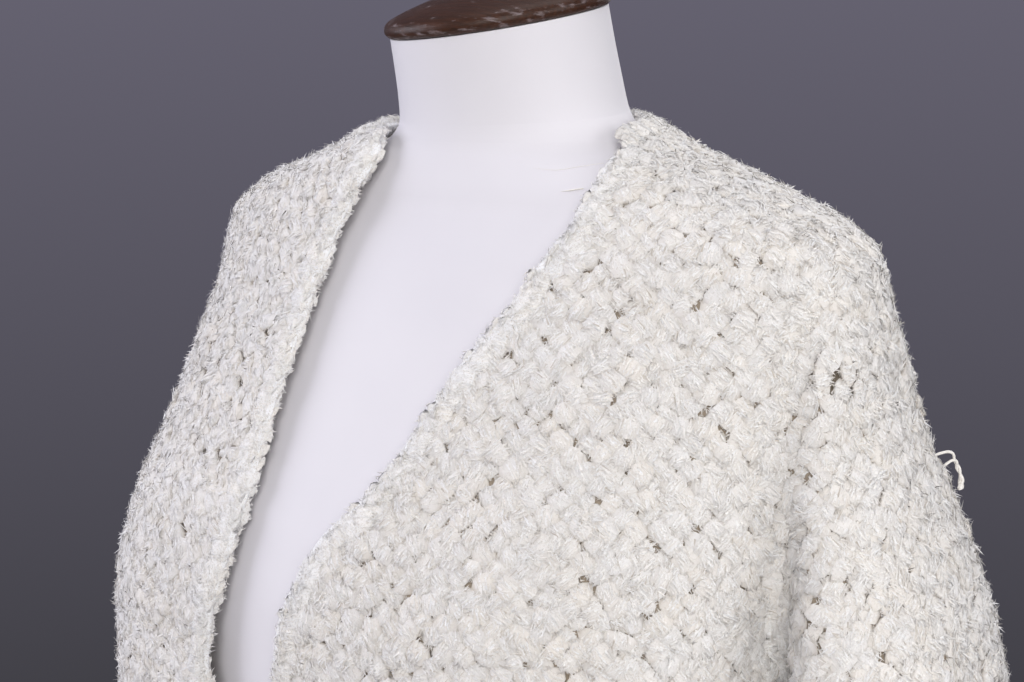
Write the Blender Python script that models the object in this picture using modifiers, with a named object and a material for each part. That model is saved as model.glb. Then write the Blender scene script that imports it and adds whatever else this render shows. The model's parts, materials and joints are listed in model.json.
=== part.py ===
"""Open-front cardigan of thick chenille knit, hanging on a limbless dress form with a counter stand.

Metres, +Z up, the front towards -Y and the wearer's left towards +X. The origin is the middle of the
underside of the base. Angles round the body run from the wearer's left side (0) by the back (90 degrees)
to the right side (180 degrees), and by the front as negative angles.
"""

from math import pi, radians, tan

import bpy
import numpy as np

# Cloth
wall = 0.0045           # thickness of the chenille knit
seam = 0.0003           # space between two pieces at a seam
edging_width = 0.012
edging_thick = 0.0066

# Heights of the cut
hem_z = 0.335
underarm_z = 0.655
shoulder_z = 0.9000     # top of the armhole, at the end of the shoulder seam
neck_z = 0.9500         # neck end of the shoulder seam and top of the back piece

# Armhole, as a leaf-shaped hole round the side
armhole_front = 0.054   # how far it reaches forward of the side
armhole_back = 0.056

# Form, cap and stand
neck_top_z = 1.0
neck_forward = radians(8.9)   # the neck end slopes down to the front
neck_aside = radians(4.6)     # and a little to the wearer's right
cap_radius = 0.0555
cap_gap = 0.0003
base_radius = 0.165
base_height = 0.026
pole_radius = 0.016
form_bottom_z = 0.272

# Mesh steps
body_columns_front = 14
body_columns_back = 26
armhole_steps = 12            # from the top of the armhole to the underarm
low_steps = 11                # from the hem to the underarm
low_crowd = 1.3               # above 1 the rows crowd towards the underarm
shoulder_shares = (0.2, 0.4, 0.6, 0.76, 0.87, 0.93, 0.966, 0.988, 1)
head_shares = (0.0, 0.09, 0.2, 0.34, 0.5, 0.68, 0.85)
sleeve_steps = 13
form_columns = 36
turned_columns = 36
pole_columns = 24
tiny = 1e-4                   # step for directions worked out from differences

# Rings of the form: square is the power of the oval (2 is an ellipse), shift where its middle lies in Y,
# and tilt how much of the neck's slope it has
form_names = ("z", "half_width", "front", "back", "square", "shift", "tilt")
form_rows = [
    (0.272, 0.1480, 0.0880, 0.1030, 2.20, 0.0000, 0),
    (0.277, 0.1600, 0.0980, 0.1140, 2.20, 0.0000, 0),
    (0.290, 0.1670, 0.1040, 0.1200, 2.20, 0.0000, 0),
    (0.330, 0.1710, 0.1070, 0.1240, 2.20, 0.0000, 0),
    (0.380, 0.1680, 0.1060, 0.1200, 2.20, 0.0000, 0),
    (0.440, 0.1550, 0.1020, 0.1070, 2.20, 0.0000, 0),
    (0.500, 0.1370, 0.0970, 0.0900, 2.20, 0.0000, 0),
    (0.560, 0.1260, 0.0990, 0.0800, 2.20, 0.0000, 0),
    (0.620, 0.1390, 0.1240, 0.0840, 2.40, 0.0000, 0),
    (0.680, 0.1580, 0.1460, 0.0940, 2.60, 0.0000, 0),
    (0.720, 0.1640, 0.1470, 0.0990, 2.60, 0.0000, 0),
    (0.760, 0.1680, 0.1405, 0.1020, 2.48, 0.0000, 0),
    (0.800, 0.1730, 0.1225, 0.1040, 2.26, 0.0000, 0),
    (0.840, 0.1820, 0.1035, 0.1030, 2.10, 0.0000, 0),
    (0.866, 0.1860, 0.0905, 0.0990, 2.00, 0.0000, 0),
    (0.884, 0.1840, 0.0820, 0.0950, 2.00, 0.0000, 0),
    (0.8957, 0.1785, 0.0765, 0.0910, 2.00, 0.0000, 0),
    (0.9043, 0.1700, 0.0725, 0.0870, 2.00, 0.0000, 0),
    (0.9133, 0.1530, 0.0690, 0.0820, 2.00, 0.0000, 0),
    (0.9230, 0.1280, 0.0660, 0.0760, 2.00, -0.0010, 0),
    (0.9333, 0.0980, 0.0618, 0.0680, 2.00, -0.0025, 0),
    (0.9437, 0.0672, 0.0576, 0.0598, 2.00, -0.0050, 0.1),
    (0.954, 0.0572, 0.0555, 0.0559, 2.00, -0.0075, 0.3),
    (0.967, 0.0553, 0.0541, 0.0541, 2.00, -0.0105, 0.6),
    (0.982, 0.0540, 0.0528, 0.0528, 2.00, -0.0145, 0.9),
    (1.000, 0.0530, 0.0525, 0.0525, 2.00, -0.0190, 1),
]

# Rings of the cardigan's body, outer face
body_names = ("z", "left", "right", "front", "back", "square", "shift")
body_rows = [
    (0.335, 0.1960, 0.1990, 0.1540, 0.1390, 2.30, 0.0000),
    (0.450, 0.1910, 0.1960, 0.1550, 0.1340, 2.30, 0.0000),
    (0.560, 0.1870, 0.1940, 0.1560, 0.1280, 2.30, 0.0000),
    (0.650, 0.1840, 0.1930, 0.1575, 0.1240, 2.35, 0.0000),
    (0.720, 0.1830, 0.1930, 0.1575, 0.1220, 2.35, 0.0000),
    (0.760, 0.1840, 0.1930, 0.1500, 0.1220, 2.32, 0.0000),
    (0.800, 0.1880, 0.1940, 0.1345, 0.1210, 2.20, 0.0000),
    (0.840, 0.1950, 0.1950, 0.1170, 0.1170, 2.10, 0.0000),
    (0.867, 0.1985, 0.1925, 0.1035, 0.1110, 2.00, 0.0000),
    (0.887, 0.1970, 0.1905, 0.0945, 0.1060, 2.00, 0.0000),
    (0.9000, 0.1905, 0.1865, 0.0890, 0.1010, 2.00, 0.0000),
    (0.9092, 0.1765, 0.1765, 0.0850, 0.0970, 2.00, 0.0000),
    (0.9182, 0.1545, 0.1600, 0.0815, 0.0920, 2.00, -0.0005),
    (0.9280, 0.1290, 0.1320, 0.0775, 0.0860, 2.00, -0.0020),
    (0.9380, 0.1025, 0.1020, 0.0735, 0.0785, 2.00, -0.0040),
    (0.9500, 0.0745, 0.0745, 0.0700, 0.0705, 2.00, -0.0065),
    (0.9590, 0.0615, 0.0615, 0.0595, 0.0600, 2.00, -0.0085),
]

# Front edges, as the angle where each front ends
edge_names = ("z", "left_deg", "right_deg")
edge_rows = [
    (0.335, -91.5, -110.0),
    (0.460, -94.0, -112.5),
    (0.600, -93.2, -111.2),
    (0.690, -92.8, -111.0),
    (0.716, -92.0, -110.0),
    (0.742, -90.3, -108.2),
    (0.760, -88.7, -107.0),
    (0.784, -83.0, -106.8),
    (0.800, -79.6, -107.6),
    (0.844, -72.8, -108.3),
    (0.870, -67.3, -109.3),
    (0.897, -62.1, -108.3),
    (0.910, -56.5, -108.5),
    (0.924, -45.6, -110.9),
    (0.935, -30.4, -114.0),
    (0.942, -16.5, -120.0),
    (0.947, -8.5, -142.0),
    (0.950, -3.0, -176.0),
]

# Soft folds of the body: where, how far out, how wide, how it leans below, and from where to where it grows
fold_names = ("angle_deg", "out", "width_deg", "lean_deg", "from_z", "full_z")
fold_rows = [
    (-36, 0.0050, 15, 4, 0.86, 0.70),
    (-60, -0.0035, 11, -28, 0.90, 0.68),
    (-142, 0.0240, 24, 0, 0.87, 0.70),
    (-72, 0.0080, 12, -4, 0.72, 0.46),
    (-48, -0.0080, 11, 3, 0.70, 0.46),
    (-18, 0.0070, 12, 2, 0.66, 0.44),
    (-128, -0.0060, 11, 3, 0.68, 0.45),
    (-164, -0.0090, 12, -2, 0.72, 0.46),
    (26, -0.0070, 12, 2, 0.72, 0.50),
    (50, 0.0080, 13, 5, 0.82, 0.56),
    (76, -0.0080, 13, 4, 0.84, 0.52),
    (102, 0.0070, 13, -2, 0.80, 0.50),
    (127, -0.0085, 13, -4, 0.82, 0.54),
    (152, 0.0075, 12, -3, 0.76, 0.50),
]

# Sections of a sleeve, from the armhole to the cuff: outer and inner side as ways out from the body's side
# at their heights, half width in Y and middle in Y
sleeve_names = ("part", "outer_gap", "outer_z", "inner_gap", "inner_z", "half_width", "middle_y")
sleeve_rows = [
    (0.00, 0.0010, 0.8780, 0.0063, 0.6460, 0.0510, 0.0010),
    (0.10, 0.0100, 0.8400, 0.0072, 0.6310, 0.0630, 0.0045),
    (0.22, 0.0370, 0.7900, 0.0078, 0.6100, 0.0750, 0.0065),
    (0.35, 0.0620, 0.7330, 0.0082, 0.5830, 0.0810, 0.0040),
    (0.50, 0.0760, 0.6600, 0.0088, 0.5480, 0.0835, 0.0005),
    (0.66, 0.0840, 0.5730, 0.0100, 0.5030, 0.0820, -0.0020),
    (0.82, 0.0860, 0.4820, 0.0130, 0.4460, 0.0760, -0.0050),
    (1.00, 0.0830, 0.3780, 0.0150, 0.3700, 0.0690, -0.0100),
]
right_sleeve_back = 0.014     # the right sleeve hangs this much farther back
right_sleeve_from = 0.3       # from this part down

# Curve of a sleeve's head, as the lengths of its end directions
head_leave_top = 0.026
head_leave_under = 0.038
head_arrive = 0.035

# Soft folds of a sleeve: angle round it from the outer side by the front, how far out, how wide, and where
# along it
crease_names = ("angle_deg", "out", "width_deg", "from_part", "to_part")
crease_rows = [
    (78, -0.0060, 24, 0.30, 0.66),
    (28, 0.0050, 20, 0.22, 0.80),
    (112, 0.0040, 20, 0.45, 0.95),
    (300, -0.0060, 26, 0.30, 0.72),
    (250, 0.0050, 22, 0.45, 1.00),
    (330, 0.0040, 20, 0.55, 1.05),
    (150, -0.0035, 22, 0.55, 1.10),
]

# Cross-section of the edging, as shares of its width and thickness
edging_section = [(0, -0.30), (0.22, -0.5), (0.7, -0.5), (1, -0.18),
                  (1, 0.18), (0.7, 0.5), (0.22, 0.5), (0, 0.30)]

# Half profiles of what is turned, as radius and height
base_profile = [(0, 0), (base_radius - 0.003, 0), (base_radius, 0.003), (base_radius, 0.016),
                (base_radius - 0.004, 0.0215), (base_radius - 0.014, 0.0245),
                (base_radius - 0.03, base_height), (0, base_height)]
pole_profile = [(0, base_height + seam), (pole_radius, base_height + seam),
                (pole_radius, form_bottom_z - seam), (0, form_bottom_z - seam)]
cap_profile = [(0, 0), (cap_radius - 0.0030, 0), (cap_radius - 0.0006, 0.0012),
               (cap_radius + 0.0004, 0.0036), (cap_radius - 0.0004, 0.0062), (cap_radius - 0.0030, 0.0082),
               (cap_radius - 0.0100, 0.0108), (0.0300, 0.0150), (0.0150, 0.0175), (0.0120, 0.0190),
               (0.0110, 0.0215), (0.0080, 0.0236), (0, 0.0245)]


def column(names, rows, name, at):
    """Value at a place on the smooth curve, without overshoot, through one column of a table."""
    table = np.array(rows, float)
    x, y = table[:, 0], table[:, names.index(name)]
    step = np.diff(x)
    slope = np.diff(y) / step
    tangent = np.empty_like(y)
    tangent[0], tangent[-1] = slope[0], slope[-1]
    before, after = slope[:-1], slope[1:]
    first, second = 2 * step[1:] + step[:-1], step[1:] + 2 * step[:-1]
    same = before * after > 0
    tangent[1:-1][~same] = 0
    tangent[1:-1][same] = ((first + second) / (first / np.where(same, before, 1)
                                               + second / np.where(same, after, 1)))[same]
    at = np.asarray(at, float)
    k = np.clip(np.searchsorted(x, at) - 1, 0, len(x) - 2)
    t = (at - x[k]) / step[k]
    return (y[k] * (1 + 2 * t) * (1 - t) ** 2 + step[k] * tangent[k] * t * (1 - t) ** 2
            + y[k + 1] * t * t * (3 - 2 * t) - step[k] * tangent[k + 1] * t * t * (1 - t))


def ramp(value):
    """0 to 1, easing in and out."""
    value = np.clip(value, 0, 1)
    return value * value * (3 - 2 * value)


def turned_difference(angle, middle):
    """Difference of two angles, within half a turn."""
    return (angle - middle + pi) % (2 * pi) - pi


def unit(vectors):
    return vectors / np.linalg.norm(vectors, axis=-1, keepdims=True)


def oval(angle, square):
    """Unit oval: cosine and sine raised so that it fills its corners."""
    c, s = np.cos(angle), np.sin(angle)
    return np.sign(c) * np.abs(c) ** (2 / square), np.sign(s) * np.abs(s) ** (2 / square)


def body(angle, z):
    """Outer point of the cardigan's body."""
    angle, z = np.broadcast_arrays(np.asarray(angle, float), np.asarray(z, float))
    left, right, front, back, square, shift = (column(body_names, body_rows, name, z)
                                               for name in body_names[1:])
    c, s = oval(angle, square)
    wide, deep = np.where(c > 0, left, right), np.where(s < 0, front, back)
    out = unit(np.stack([c / wide, s / deep], -1))
    push = np.zeros_like(z)
    for row in fold_rows:
        fold = dict(zip(fold_names, row))
        share = np.clip((fold["from_z"] - z) / (fold["from_z"] - fold["full_z"]), 0, 1)
        middle = radians(fold["angle_deg"]) + radians(fold["lean_deg"]) * share
        away = turned_difference(angle, middle) / radians(fold["width_deg"])
        push = push + fold["out"] * ramp(share) * np.exp(-away ** 2)
    return np.stack([wide * c + push * out[..., 0], shift + deep * s + push * out[..., 1], z], -1)


def body_normal(angle, z):
    """Outward direction of the body's outer face."""
    along = body(angle + tiny, z) - body(angle - tiny, z)
    up = body(angle, z + tiny) - body(angle, z - tiny)
    return unit(np.cross(along, up))


def seam_angle(angle, z):
    """Angle that half the space of a seam takes on the body's face."""
    speed = np.linalg.norm(body(angle + tiny, z) - body(angle - tiny, z), axis=-1) / (2 * tiny)
    return seam / 2 / speed


def armhole(side, turn):
    """Angle and height of the armhole's edge: turn 0 is the top, half a turn the underarm, front first."""
    z = (shoulder_z + underarm_z) / 2 + (shoulder_z - underarm_z) / 2 * np.cos(turn)
    reach = np.sin(turn)
    front, back, square = (column(body_names, body_rows, name, z) for name in ("front", "back", "square"))
    share = np.where(reach > 0, armhole_front * reach / front, -armhole_back * reach / back)
    angle = -np.sign(reach) * np.arcsin(np.clip(share, 0, 1) ** (square / 2))
    return np.where(side > 0, angle, pi - angle), z


def panel_heights(top):
    """Heights of a body piece's rows: below the underarm, along the armhole and over the shoulder."""
    share = 1 - (1 - np.linspace(0, 1, low_steps)) ** low_crowd
    low = (hem_z + (underarm_z - hem_z) * share)[:-1]
    turn = np.linspace(pi, 0, armhole_steps + 1)
    high = shoulder_z + (top - shoulder_z) * np.array(shoulder_shares)
    return np.concatenate([low, armhole(1, turn)[1], high])


def side_angle(side, face, heights):
    """Angle where a body piece ends at its side: side seam, the armhole's edge, then the shoulder seam."""
    middle = (shoulder_z + underarm_z) / 2
    share = np.clip((heights - middle) / ((shoulder_z - underarm_z) / 2), -1, 1)
    edge, _ = armhole(1, face * np.arccos(share))
    line = 0.0 if side > 0 else pi
    least = seam_angle(line, heights)
    size = np.maximum(np.abs(edge), least)
    return np.where(side > 0, -face * size, face * size - pi if face > 0 else pi - size)


def front_grid(side):
    """Outer points and normals of a front: rows up the piece, columns from its front edge to its side."""
    heights = panel_heights(neck_z - seam)
    name = "left_deg" if side > 0 else "right_deg"
    start = np.radians(column(edge_names, edge_rows, name, heights))
    end = side_angle(side, 1, heights)
    share = np.linspace(0, 1, body_columns_front)
    angle = start[:, None] + (end - start)[:, None] * share
    z = heights[:, None] + 0 * angle
    return body(angle, z), body_normal(angle, z)


def back_grid():
    """Outer points and normals of the back: rows up the piece, columns from the left side to the right."""
    heights = panel_heights(neck_z)
    start, end = side_angle(1, -1, heights), side_angle(-1, -1, heights)
    share = np.linspace(0, 1, body_columns_back)
    angle = start[:, None] + (end - start)[:, None] * share
    z = heights[:, None] + 0 * angle
    return body(angle, z), body_normal(angle, z)


def tube(side, part, turn):
    """Outer point of a sleeve below its head: turn 0 is the outer side, a quarter the front."""
    part, turn = np.broadcast_arrays(np.asarray(part, float), np.asarray(turn, float))
    value = {name: column(sleeve_names, sleeve_rows, name, part) for name in sleeve_names[1:]}
    width = "left" if side > 0 else "right"
    outer_x = value["outer_gap"] + column(body_names, body_rows, width, value["outer_z"])
    inner_x = value["inner_gap"] + column(body_names, body_rows, width, value["inner_z"])
    middle_y = value["middle_y"] + (0 if side > 0 else right_sleeve_back * ramp(part / right_sleeve_from))
    c, s = np.cos(turn), np.sin(turn)
    half_x, half_z = (outer_x - inner_x) / 2, (value["outer_z"] - value["inner_z"]) / 2
    push = np.zeros_like(part)
    for row in crease_rows:
        crease = dict(zip(crease_names, row))
        share = np.clip((part - crease["from_part"]) / (crease["to_part"] - crease["from_part"]), 0, 1)
        away = turned_difference(turn, radians(crease["angle_deg"])) / radians(crease["width_deg"])
        push = push + crease["out"] * np.sin(pi * share) ** 2 * np.exp(-away ** 2)
    x = inner_x + half_x * (1 + c) + push * c
    z = value["inner_z"] + half_z * (1 + c)
    return np.stack([side * x, middle_y - (value["half_width"] + push) * s, z], -1)


def armhole_frame(side, turn):
    """Point on the armhole's edge, the way across the seam, and the outward direction of the face there."""
    point, normal = body(*armhole(side, turn)), body_normal(*armhole(side, turn))
    along = body(*armhole(side, turn + tiny)) - body(*armhole(side, turn - tiny))
    return point, unit(side * np.cross(normal, along)), normal


def sleeve(side, part, turn):
    """Outer point of a sleeve: part -1 is the seam at the armhole, 0 the end of its head, 1 the cuff."""
    if part >= 0:
        return tube(side, part, turn)
    point, across, _ = armhole_frame(side, turn)
    first = point + seam * across
    last, ahead = tube(side, 0, turn), tube(side, 0.02, turn) - tube(side, 0, turn)
    leave = head_leave_top + (head_leave_under - head_leave_top) * (1 - np.cos(turn))[:, None] / 2
    arrive = head_arrive * unit(ahead)
    t = part + 1
    return (first * (1 + 2 * t) * (1 - t) ** 2 + leave * across * t * (1 - t) ** 2
            + last * t * t * (3 - 2 * t) - arrive * t * t * (1 - t))


def sleeve_grid(side):
    """Outer points and normals of a sleeve: rows from the armhole to the cuff, columns round it."""
    turn = np.linspace(0, 2 * pi, 2 * armhole_steps + 1)[:-1]
    parts = [share - 1 for share in head_shares] + list(np.linspace(0, 1, sleeve_steps))
    points, normals = [], []
    for part in parts:
        low, high = max(part - tiny, -1), min(part + tiny, 1)
        down = sleeve(side, high, turn) - sleeve(side, low, turn)
        round_it = sleeve(side, part, turn + tiny) - sleeve(side, part, turn - tiny)
        points.append(sleeve(side, part, turn))
        normals.append(armhole_frame(side, turn)[2] if part == -1 else unit(side * np.cross(round_it, down)))
    return np.array(points), np.array(normals)


def add_object(name, points, faces, colour, smooth=True):
    mesh = bpy.data.meshes.new(name)
    mesh.from_pydata([tuple(p) for p in points], [], faces)
    mesh.validate()
    mesh.update()
    thing = bpy.data.objects.new(name, mesh)
    parts.objects.link(thing)
    thing.data.materials.append(material(name, *colour))
    for face in mesh.polygons:
        face.use_smooth = smooth
    return thing


def material(name, red, green, blue, rough):
    made = bpy.data.materials.new(name)
    made.use_nodes = True
    shader = made.node_tree.nodes["Principled BSDF"]
    shader.inputs["Base Color"].default_value = (red, green, blue, 1)
    shader.inputs["Roughness"].default_value = rough
    return made


def cloth(name, grid, colour, tube_like=False, reverse=False):
    """Solid of the wall's thickness inside a grid of outer points: both faces and the rim."""
    outer, normals = grid
    rows, columns = outer.shape[:2]
    points = np.concatenate([outer.reshape(-1, 3), (outer - wall * normals).reshape(-1, 3)])
    inside = rows * columns

    def at(i, j):
        return i * columns + j % columns

    faces = []
    for i in range(rows - 1):
        for j in range(columns if tube_like else columns - 1):
            quad = [at(i, j), at(i, j + 1), at(i + 1, j + 1), at(i + 1, j)]
            faces += [quad, [inside + k for k in reversed(quad)]]
    rim = [at(0, j) for j in range(columns)]
    if tube_like:
        rims = [rim + rim[:1], [at(rows - 1, j) for j in range(columns, -1, -1)]]
    else:
        rim += [at(i, columns - 1) for i in range(1, rows)]
        rim += [at(rows - 1, j) for j in range(columns - 2, -1, -1)]
        rims = [rim + [at(i, 0) for i in range(rows - 2, -1, -1)]]
    for line in rims:
        for a, b in zip(line, line[1:]):
            # Both sides of a seam split their rims the same way: higher outer point to lower inner one
            if points[a][2] > points[b][2]:
                faces += [[b, a, inside + b], [a, inside + a, inside + b]]
            else:
                faces += [[b, a, inside + a], [b, inside + a, inside + b]]
    if reverse:
        faces = [face[::-1] for face in faces]
    return add_object(name, points, faces, colour)


def edging(colour):
    """One strip up the right front, round the back neck and down the left front."""
    right, neck, left = front_grid(-1), back_grid(), front_grid(1)
    line, out = (np.concatenate([right[k][:, 0], neck[k][-1, ::-1], left[k][::-1, 0]]) for k in (0, 1))
    across = unit(np.cross(np.gradient(line, axis=0), out))
    rings = [line + (seam + share * edging_width) * across + (through * edging_thick - wall / 2) * out
             for share, through in edging_section]
    points = np.stack(rings, 1)
    count, size = points.shape[:2]
    faces = [list(range(size)), [(count - 1) * size + k for k in range(size)][::-1]]
    for i in range(count - 1):
        for k in range(size):
            a, d = i * size + k, i * size + (k + 1) % size
            b, c = a + size, d + size
            if k < size - 1:
                faces.append([a, b, c, d])
            else:
                # The face along the panels splits as their rims do
                higher = points[i, k, 2] > points[i + 1, k, 2]
                faces += [[a, b, c], [a, c, d]] if higher else [[a, b, d], [b, c, d]]
    return add_object("edging", points.reshape(-1, 3), faces, colour)


def dress_form(colour):
    """Torso and neck as one smooth body of rings, flat below and on the neck."""
    heights = []
    for (low, *_), (high, *_) in zip(form_rows, form_rows[1:]):
        heights += list(np.linspace(low, high, 2 if high - low > 0.035 else 1, endpoint=False))
    heights = np.array(heights + [form_rows[-1][0]])
    angle = np.linspace(0, 2 * pi, form_columns + 1)[:-1]
    z = heights[:, None] + 0 * angle
    value = {name: column(form_names, form_rows, name, z) for name in form_names[1:]}
    c, s = oval(angle, value["square"])
    x, y = value["half_width"] * c, np.where(s < 0, value["front"], value["back"]) * s
    z = z + value["tilt"] * (tan(neck_forward) * y + tan(neck_aside) * x)
    points = np.stack([x, y + value["shift"], z], -1).reshape(-1, 3)
    size = form_columns
    faces = [[i * size + j, i * size + (j + 1) % size, (i + 1) * size + (j + 1) % size, (i + 1) * size + j]
             for i in range(len(heights) - 1) for j in range(size)]
    faces += [list(range(size))[::-1], [(len(heights) - 1) * size + j for j in range(size)]]
    return add_object("dress_form", points, faces, colour)


def lathe(name, profile, colour, steps=turned_columns):
    """A profile of radius and height, turned about Z."""
    thing = add_object(name, [(radius, 0, z) for radius, z in reversed(profile)], [], colour)
    mesh = thing.data
    mesh.edges.add(len(profile) - 1)
    for k, edge in enumerate(mesh.edges):
        edge.vertices = (k, k + 1)
    screw = thing.modifiers.new("turn", "SCREW")
    screw.axis, screw.angle = "Z", 2 * pi
    screw.steps = screw.render_steps = steps
    screw.use_merge_vertices, screw.merge_threshold = True, 0.00005
    return thing


for old in list(bpy.data.objects):
    bpy.data.objects.remove(old, do_unlink=True)
parts = bpy.data.collections.new("open_front_cardigan_on_dress_form")
bpy.context.scene.collection.children.link(parts)

cream = (0.80, 0.78, 0.74, 0.9)
cover = (0.74, 0.73, 0.77, 0.7)
wood = (0.06, 0.03, 0.015, 0.3)

cloth("front_left", front_grid(1), cream)
cloth("front_right", front_grid(-1), cream, reverse=True)
cloth("back", back_grid(), cream)
cloth("sleeve_left", sleeve_grid(1), cream, tube_like=True)
cloth("sleeve_right", sleeve_grid(-1), cream, tube_like=True, reverse=True)
edging(cream)
dress_form(cover)
lathe("stand_base", base_profile, wood)
lathe("stand_pole", pole_profile, wood, pole_columns)
cap = lathe("neck_cap", cap_profile, wood)
cap.rotation_euler = (neck_forward, -neck_aside, 0)
cap.location = (0, form_rows[-1][form_names.index("shift")], neck_top_z + cap_gap)
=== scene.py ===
import json
from math import pi, radians, tan

import bmesh
import bpy
import numpy as np
from mathutils import Euler, Matrix, Vector
from mathutils.kdtree import KDTree

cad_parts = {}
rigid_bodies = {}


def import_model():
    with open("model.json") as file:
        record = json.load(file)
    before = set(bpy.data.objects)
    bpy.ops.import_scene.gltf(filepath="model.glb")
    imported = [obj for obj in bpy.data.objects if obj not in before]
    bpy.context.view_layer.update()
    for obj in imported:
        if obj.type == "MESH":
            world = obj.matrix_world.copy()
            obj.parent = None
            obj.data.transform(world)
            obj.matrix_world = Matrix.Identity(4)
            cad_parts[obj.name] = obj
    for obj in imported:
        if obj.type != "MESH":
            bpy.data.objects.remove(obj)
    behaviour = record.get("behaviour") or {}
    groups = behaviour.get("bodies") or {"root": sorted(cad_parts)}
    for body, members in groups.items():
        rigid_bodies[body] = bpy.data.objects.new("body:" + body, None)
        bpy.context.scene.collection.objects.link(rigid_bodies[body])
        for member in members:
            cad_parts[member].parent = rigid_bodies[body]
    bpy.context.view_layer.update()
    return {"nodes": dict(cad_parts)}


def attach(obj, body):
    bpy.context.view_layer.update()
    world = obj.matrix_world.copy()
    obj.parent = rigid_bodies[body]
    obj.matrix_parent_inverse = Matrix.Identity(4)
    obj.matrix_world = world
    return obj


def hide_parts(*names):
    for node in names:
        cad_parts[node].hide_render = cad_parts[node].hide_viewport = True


for old in list(bpy.data.objects):
    bpy.data.objects.remove(old, do_unlink=True)
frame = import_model()
print("frame loaded:", len(frame["nodes"]), "nodes")


# Camera, at the place the photograph was taken from
camera = dict(place=(0.6591, -0.7954, 1.0076), target=(-0.007, -0.001, 0.840), lensMm=73.1, sensorMm=36)


def aimed(name, data, place, target):  # a camera or lamp that looks at its target
    thing = bpy.data.objects.new(name, data)
    thing.location = place
    thing.rotation_euler = (Vector(target) - Vector(place)).to_track_quat("-Z", "Y").to_euler()
    bpy.context.collection.objects.link(thing)
    return thing


eye = aimed("camera", bpy.data.cameras.new("camera"), camera["place"], camera["target"])
eye.data.lens, eye.data.sensor_width = camera["lensMm"], camera["sensorMm"]
bpy.context.scene.camera = eye


# Small helpers for numbers

tiny = 1e-4  # step for measuring a slope
upward = np.array((0, 0, 1.0))


def ramp(value, start=0, full=1):  # smooth rise from 0 to 1
    value = np.clip((value - start) / (full - start), 0, 1)
    return value * value * (3 - 2 * value)


def between(first, last, leave, arrive, t):  # cubic from first to last, with the ways it leaves and arrives
    return (first * (1 + 2 * t) * (1 - t) ** 2 + leave * t * (1 - t) ** 2
            + last * t * t * (3 - 2 * t) - arrive * t * t * (1 - t))


def table(names, rows):
    return dict(names=names.split(), rows=np.array(rows, float))


def column(rings, name, at):  # smooth curve without overshoot through one column
    x, y = rings["rows"][:, 0], rings["rows"][:, rings["names"].index(name)]
    step = np.diff(x)
    slope = np.diff(y) / step
    tangent = np.concatenate([slope[:1], np.zeros(len(y) - 2), slope[-1:]])
    before, after = slope[:-1], slope[1:]
    first, second = 2 * step[1:] + step[:-1], step[1:] + 2 * step[:-1]
    same = before * after > 0
    tangent[1:-1][same] = ((first + second) / (first / np.where(same, before, 1)
                                               + second / np.where(same, after, 1)))[same]
    at = np.asarray(at, float)
    k = np.clip(np.searchsorted(x, at) - 1, 0, len(x) - 2)
    return between(y[k], y[k + 1], step[k] * tangent[k], step[k] * tangent[k + 1], (at - x[k]) / step[k])


def columnsAt(rings, at):  # all columns by name
    return {name: column(rings, name, at) for name in rings["names"][1:]}


def rounded(angle, square):  # cosine and sine of a round that is a little squared off
    return (np.sign(w) * np.abs(w) ** (2 / square) for w in (np.cos(angle), np.sin(angle)))


def around(angle, middle):  # difference of two angles, within half a turn
    return (angle - middle + pi) % (2 * pi) - pi


def unit(vectors):
    return vectors / np.maximum(np.linalg.norm(vectors, axis=-1, keepdims=True), 1e-12)


def dot(a, b):
    return (a * b).sum(-1, keepdims=True)


def pick(grid, row, col):  # value between the points of a grid
    row, col = np.clip(row, 0, grid.shape[0] - 1.001), np.clip(col, 0, grid.shape[1] - 1.001)
    i, j = row.astype(int), col.astype(int)
    f, g = row - i, col - j
    if grid.ndim == 3:
        f, g = f[:, None], g[:, None]
    return ((grid[i, j] * (1 - f) + grid[i + 1, j] * f) * (1 - g)
            + (grid[i, j + 1] * (1 - f) + grid[i + 1, j + 1] * f) * g)


def lengths(points):  # running length along the first axis
    step = np.linalg.norm(np.diff(points, axis=0), axis=-1)
    return np.concatenate([np.zeros_like(step[:1]), np.cumsum(step, axis=0)])


def gridNormals(points, side=1):
    return unit(side * np.cross(np.gradient(points, axis=1), np.gradient(points, axis=0)))


def searchTree(places):
    tree = KDTree(len(places))
    for k, place in enumerate(places):
        tree.insert(place, k)
    tree.balance()
    return tree


def distances(tree, places):
    return np.array([tree.find(place)[2] for place in places])


# Small helpers for meshes

def addPiece(name, mesh, materials, node=None):
    thing = bpy.data.objects.new(name, mesh)
    bpy.context.collection.objects.link(thing)
    for finish in materials:
        mesh.materials.append(finish)
    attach(thing, "root")
    if node:
        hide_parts(node)
    return thing


def toMesh(bm, name):
    mesh = bpy.data.meshes.new(name)
    bm.to_mesh(mesh)
    bm.free()
    return mesh


def setAttribute(mesh, name, values):  # a value or a vector for each vertex
    values = np.ascontiguousarray(values, np.float32)
    kind, key = ("FLOAT_VECTOR", "vector") if values.ndim > 1 else ("FLOAT", "value")
    mesh.attributes.new(name, kind, "POINT").data.foreach_set(key, values.ravel())


def shadedMesh(name, verts, faces, normals, **attributes):
    mesh = bpy.data.meshes.new(name)
    mesh.from_pydata(verts.reshape(-1, 3).tolist(), [], faces)
    mesh.polygons.foreach_set("use_smooth", np.ones(len(mesh.polygons), bool))
    for attribute, values in attributes.items():
        setAttribute(mesh, attribute, values)
    mesh.update()
    mesh.normals_split_custom_set_from_vertices(normals.reshape(-1, 3).tolist())
    return mesh


def ringFaces(count, sides):  # corners by ring, the corner after each, and the faces from ring to ring
    ring = np.arange(count * sides).reshape(count, sides)
    after = np.roll(ring, -1, axis=1)
    return ring, after, np.stack([ring[:-1], after[:-1], after[1:], ring[1:]], -1).reshape(-1, 4)


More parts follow.
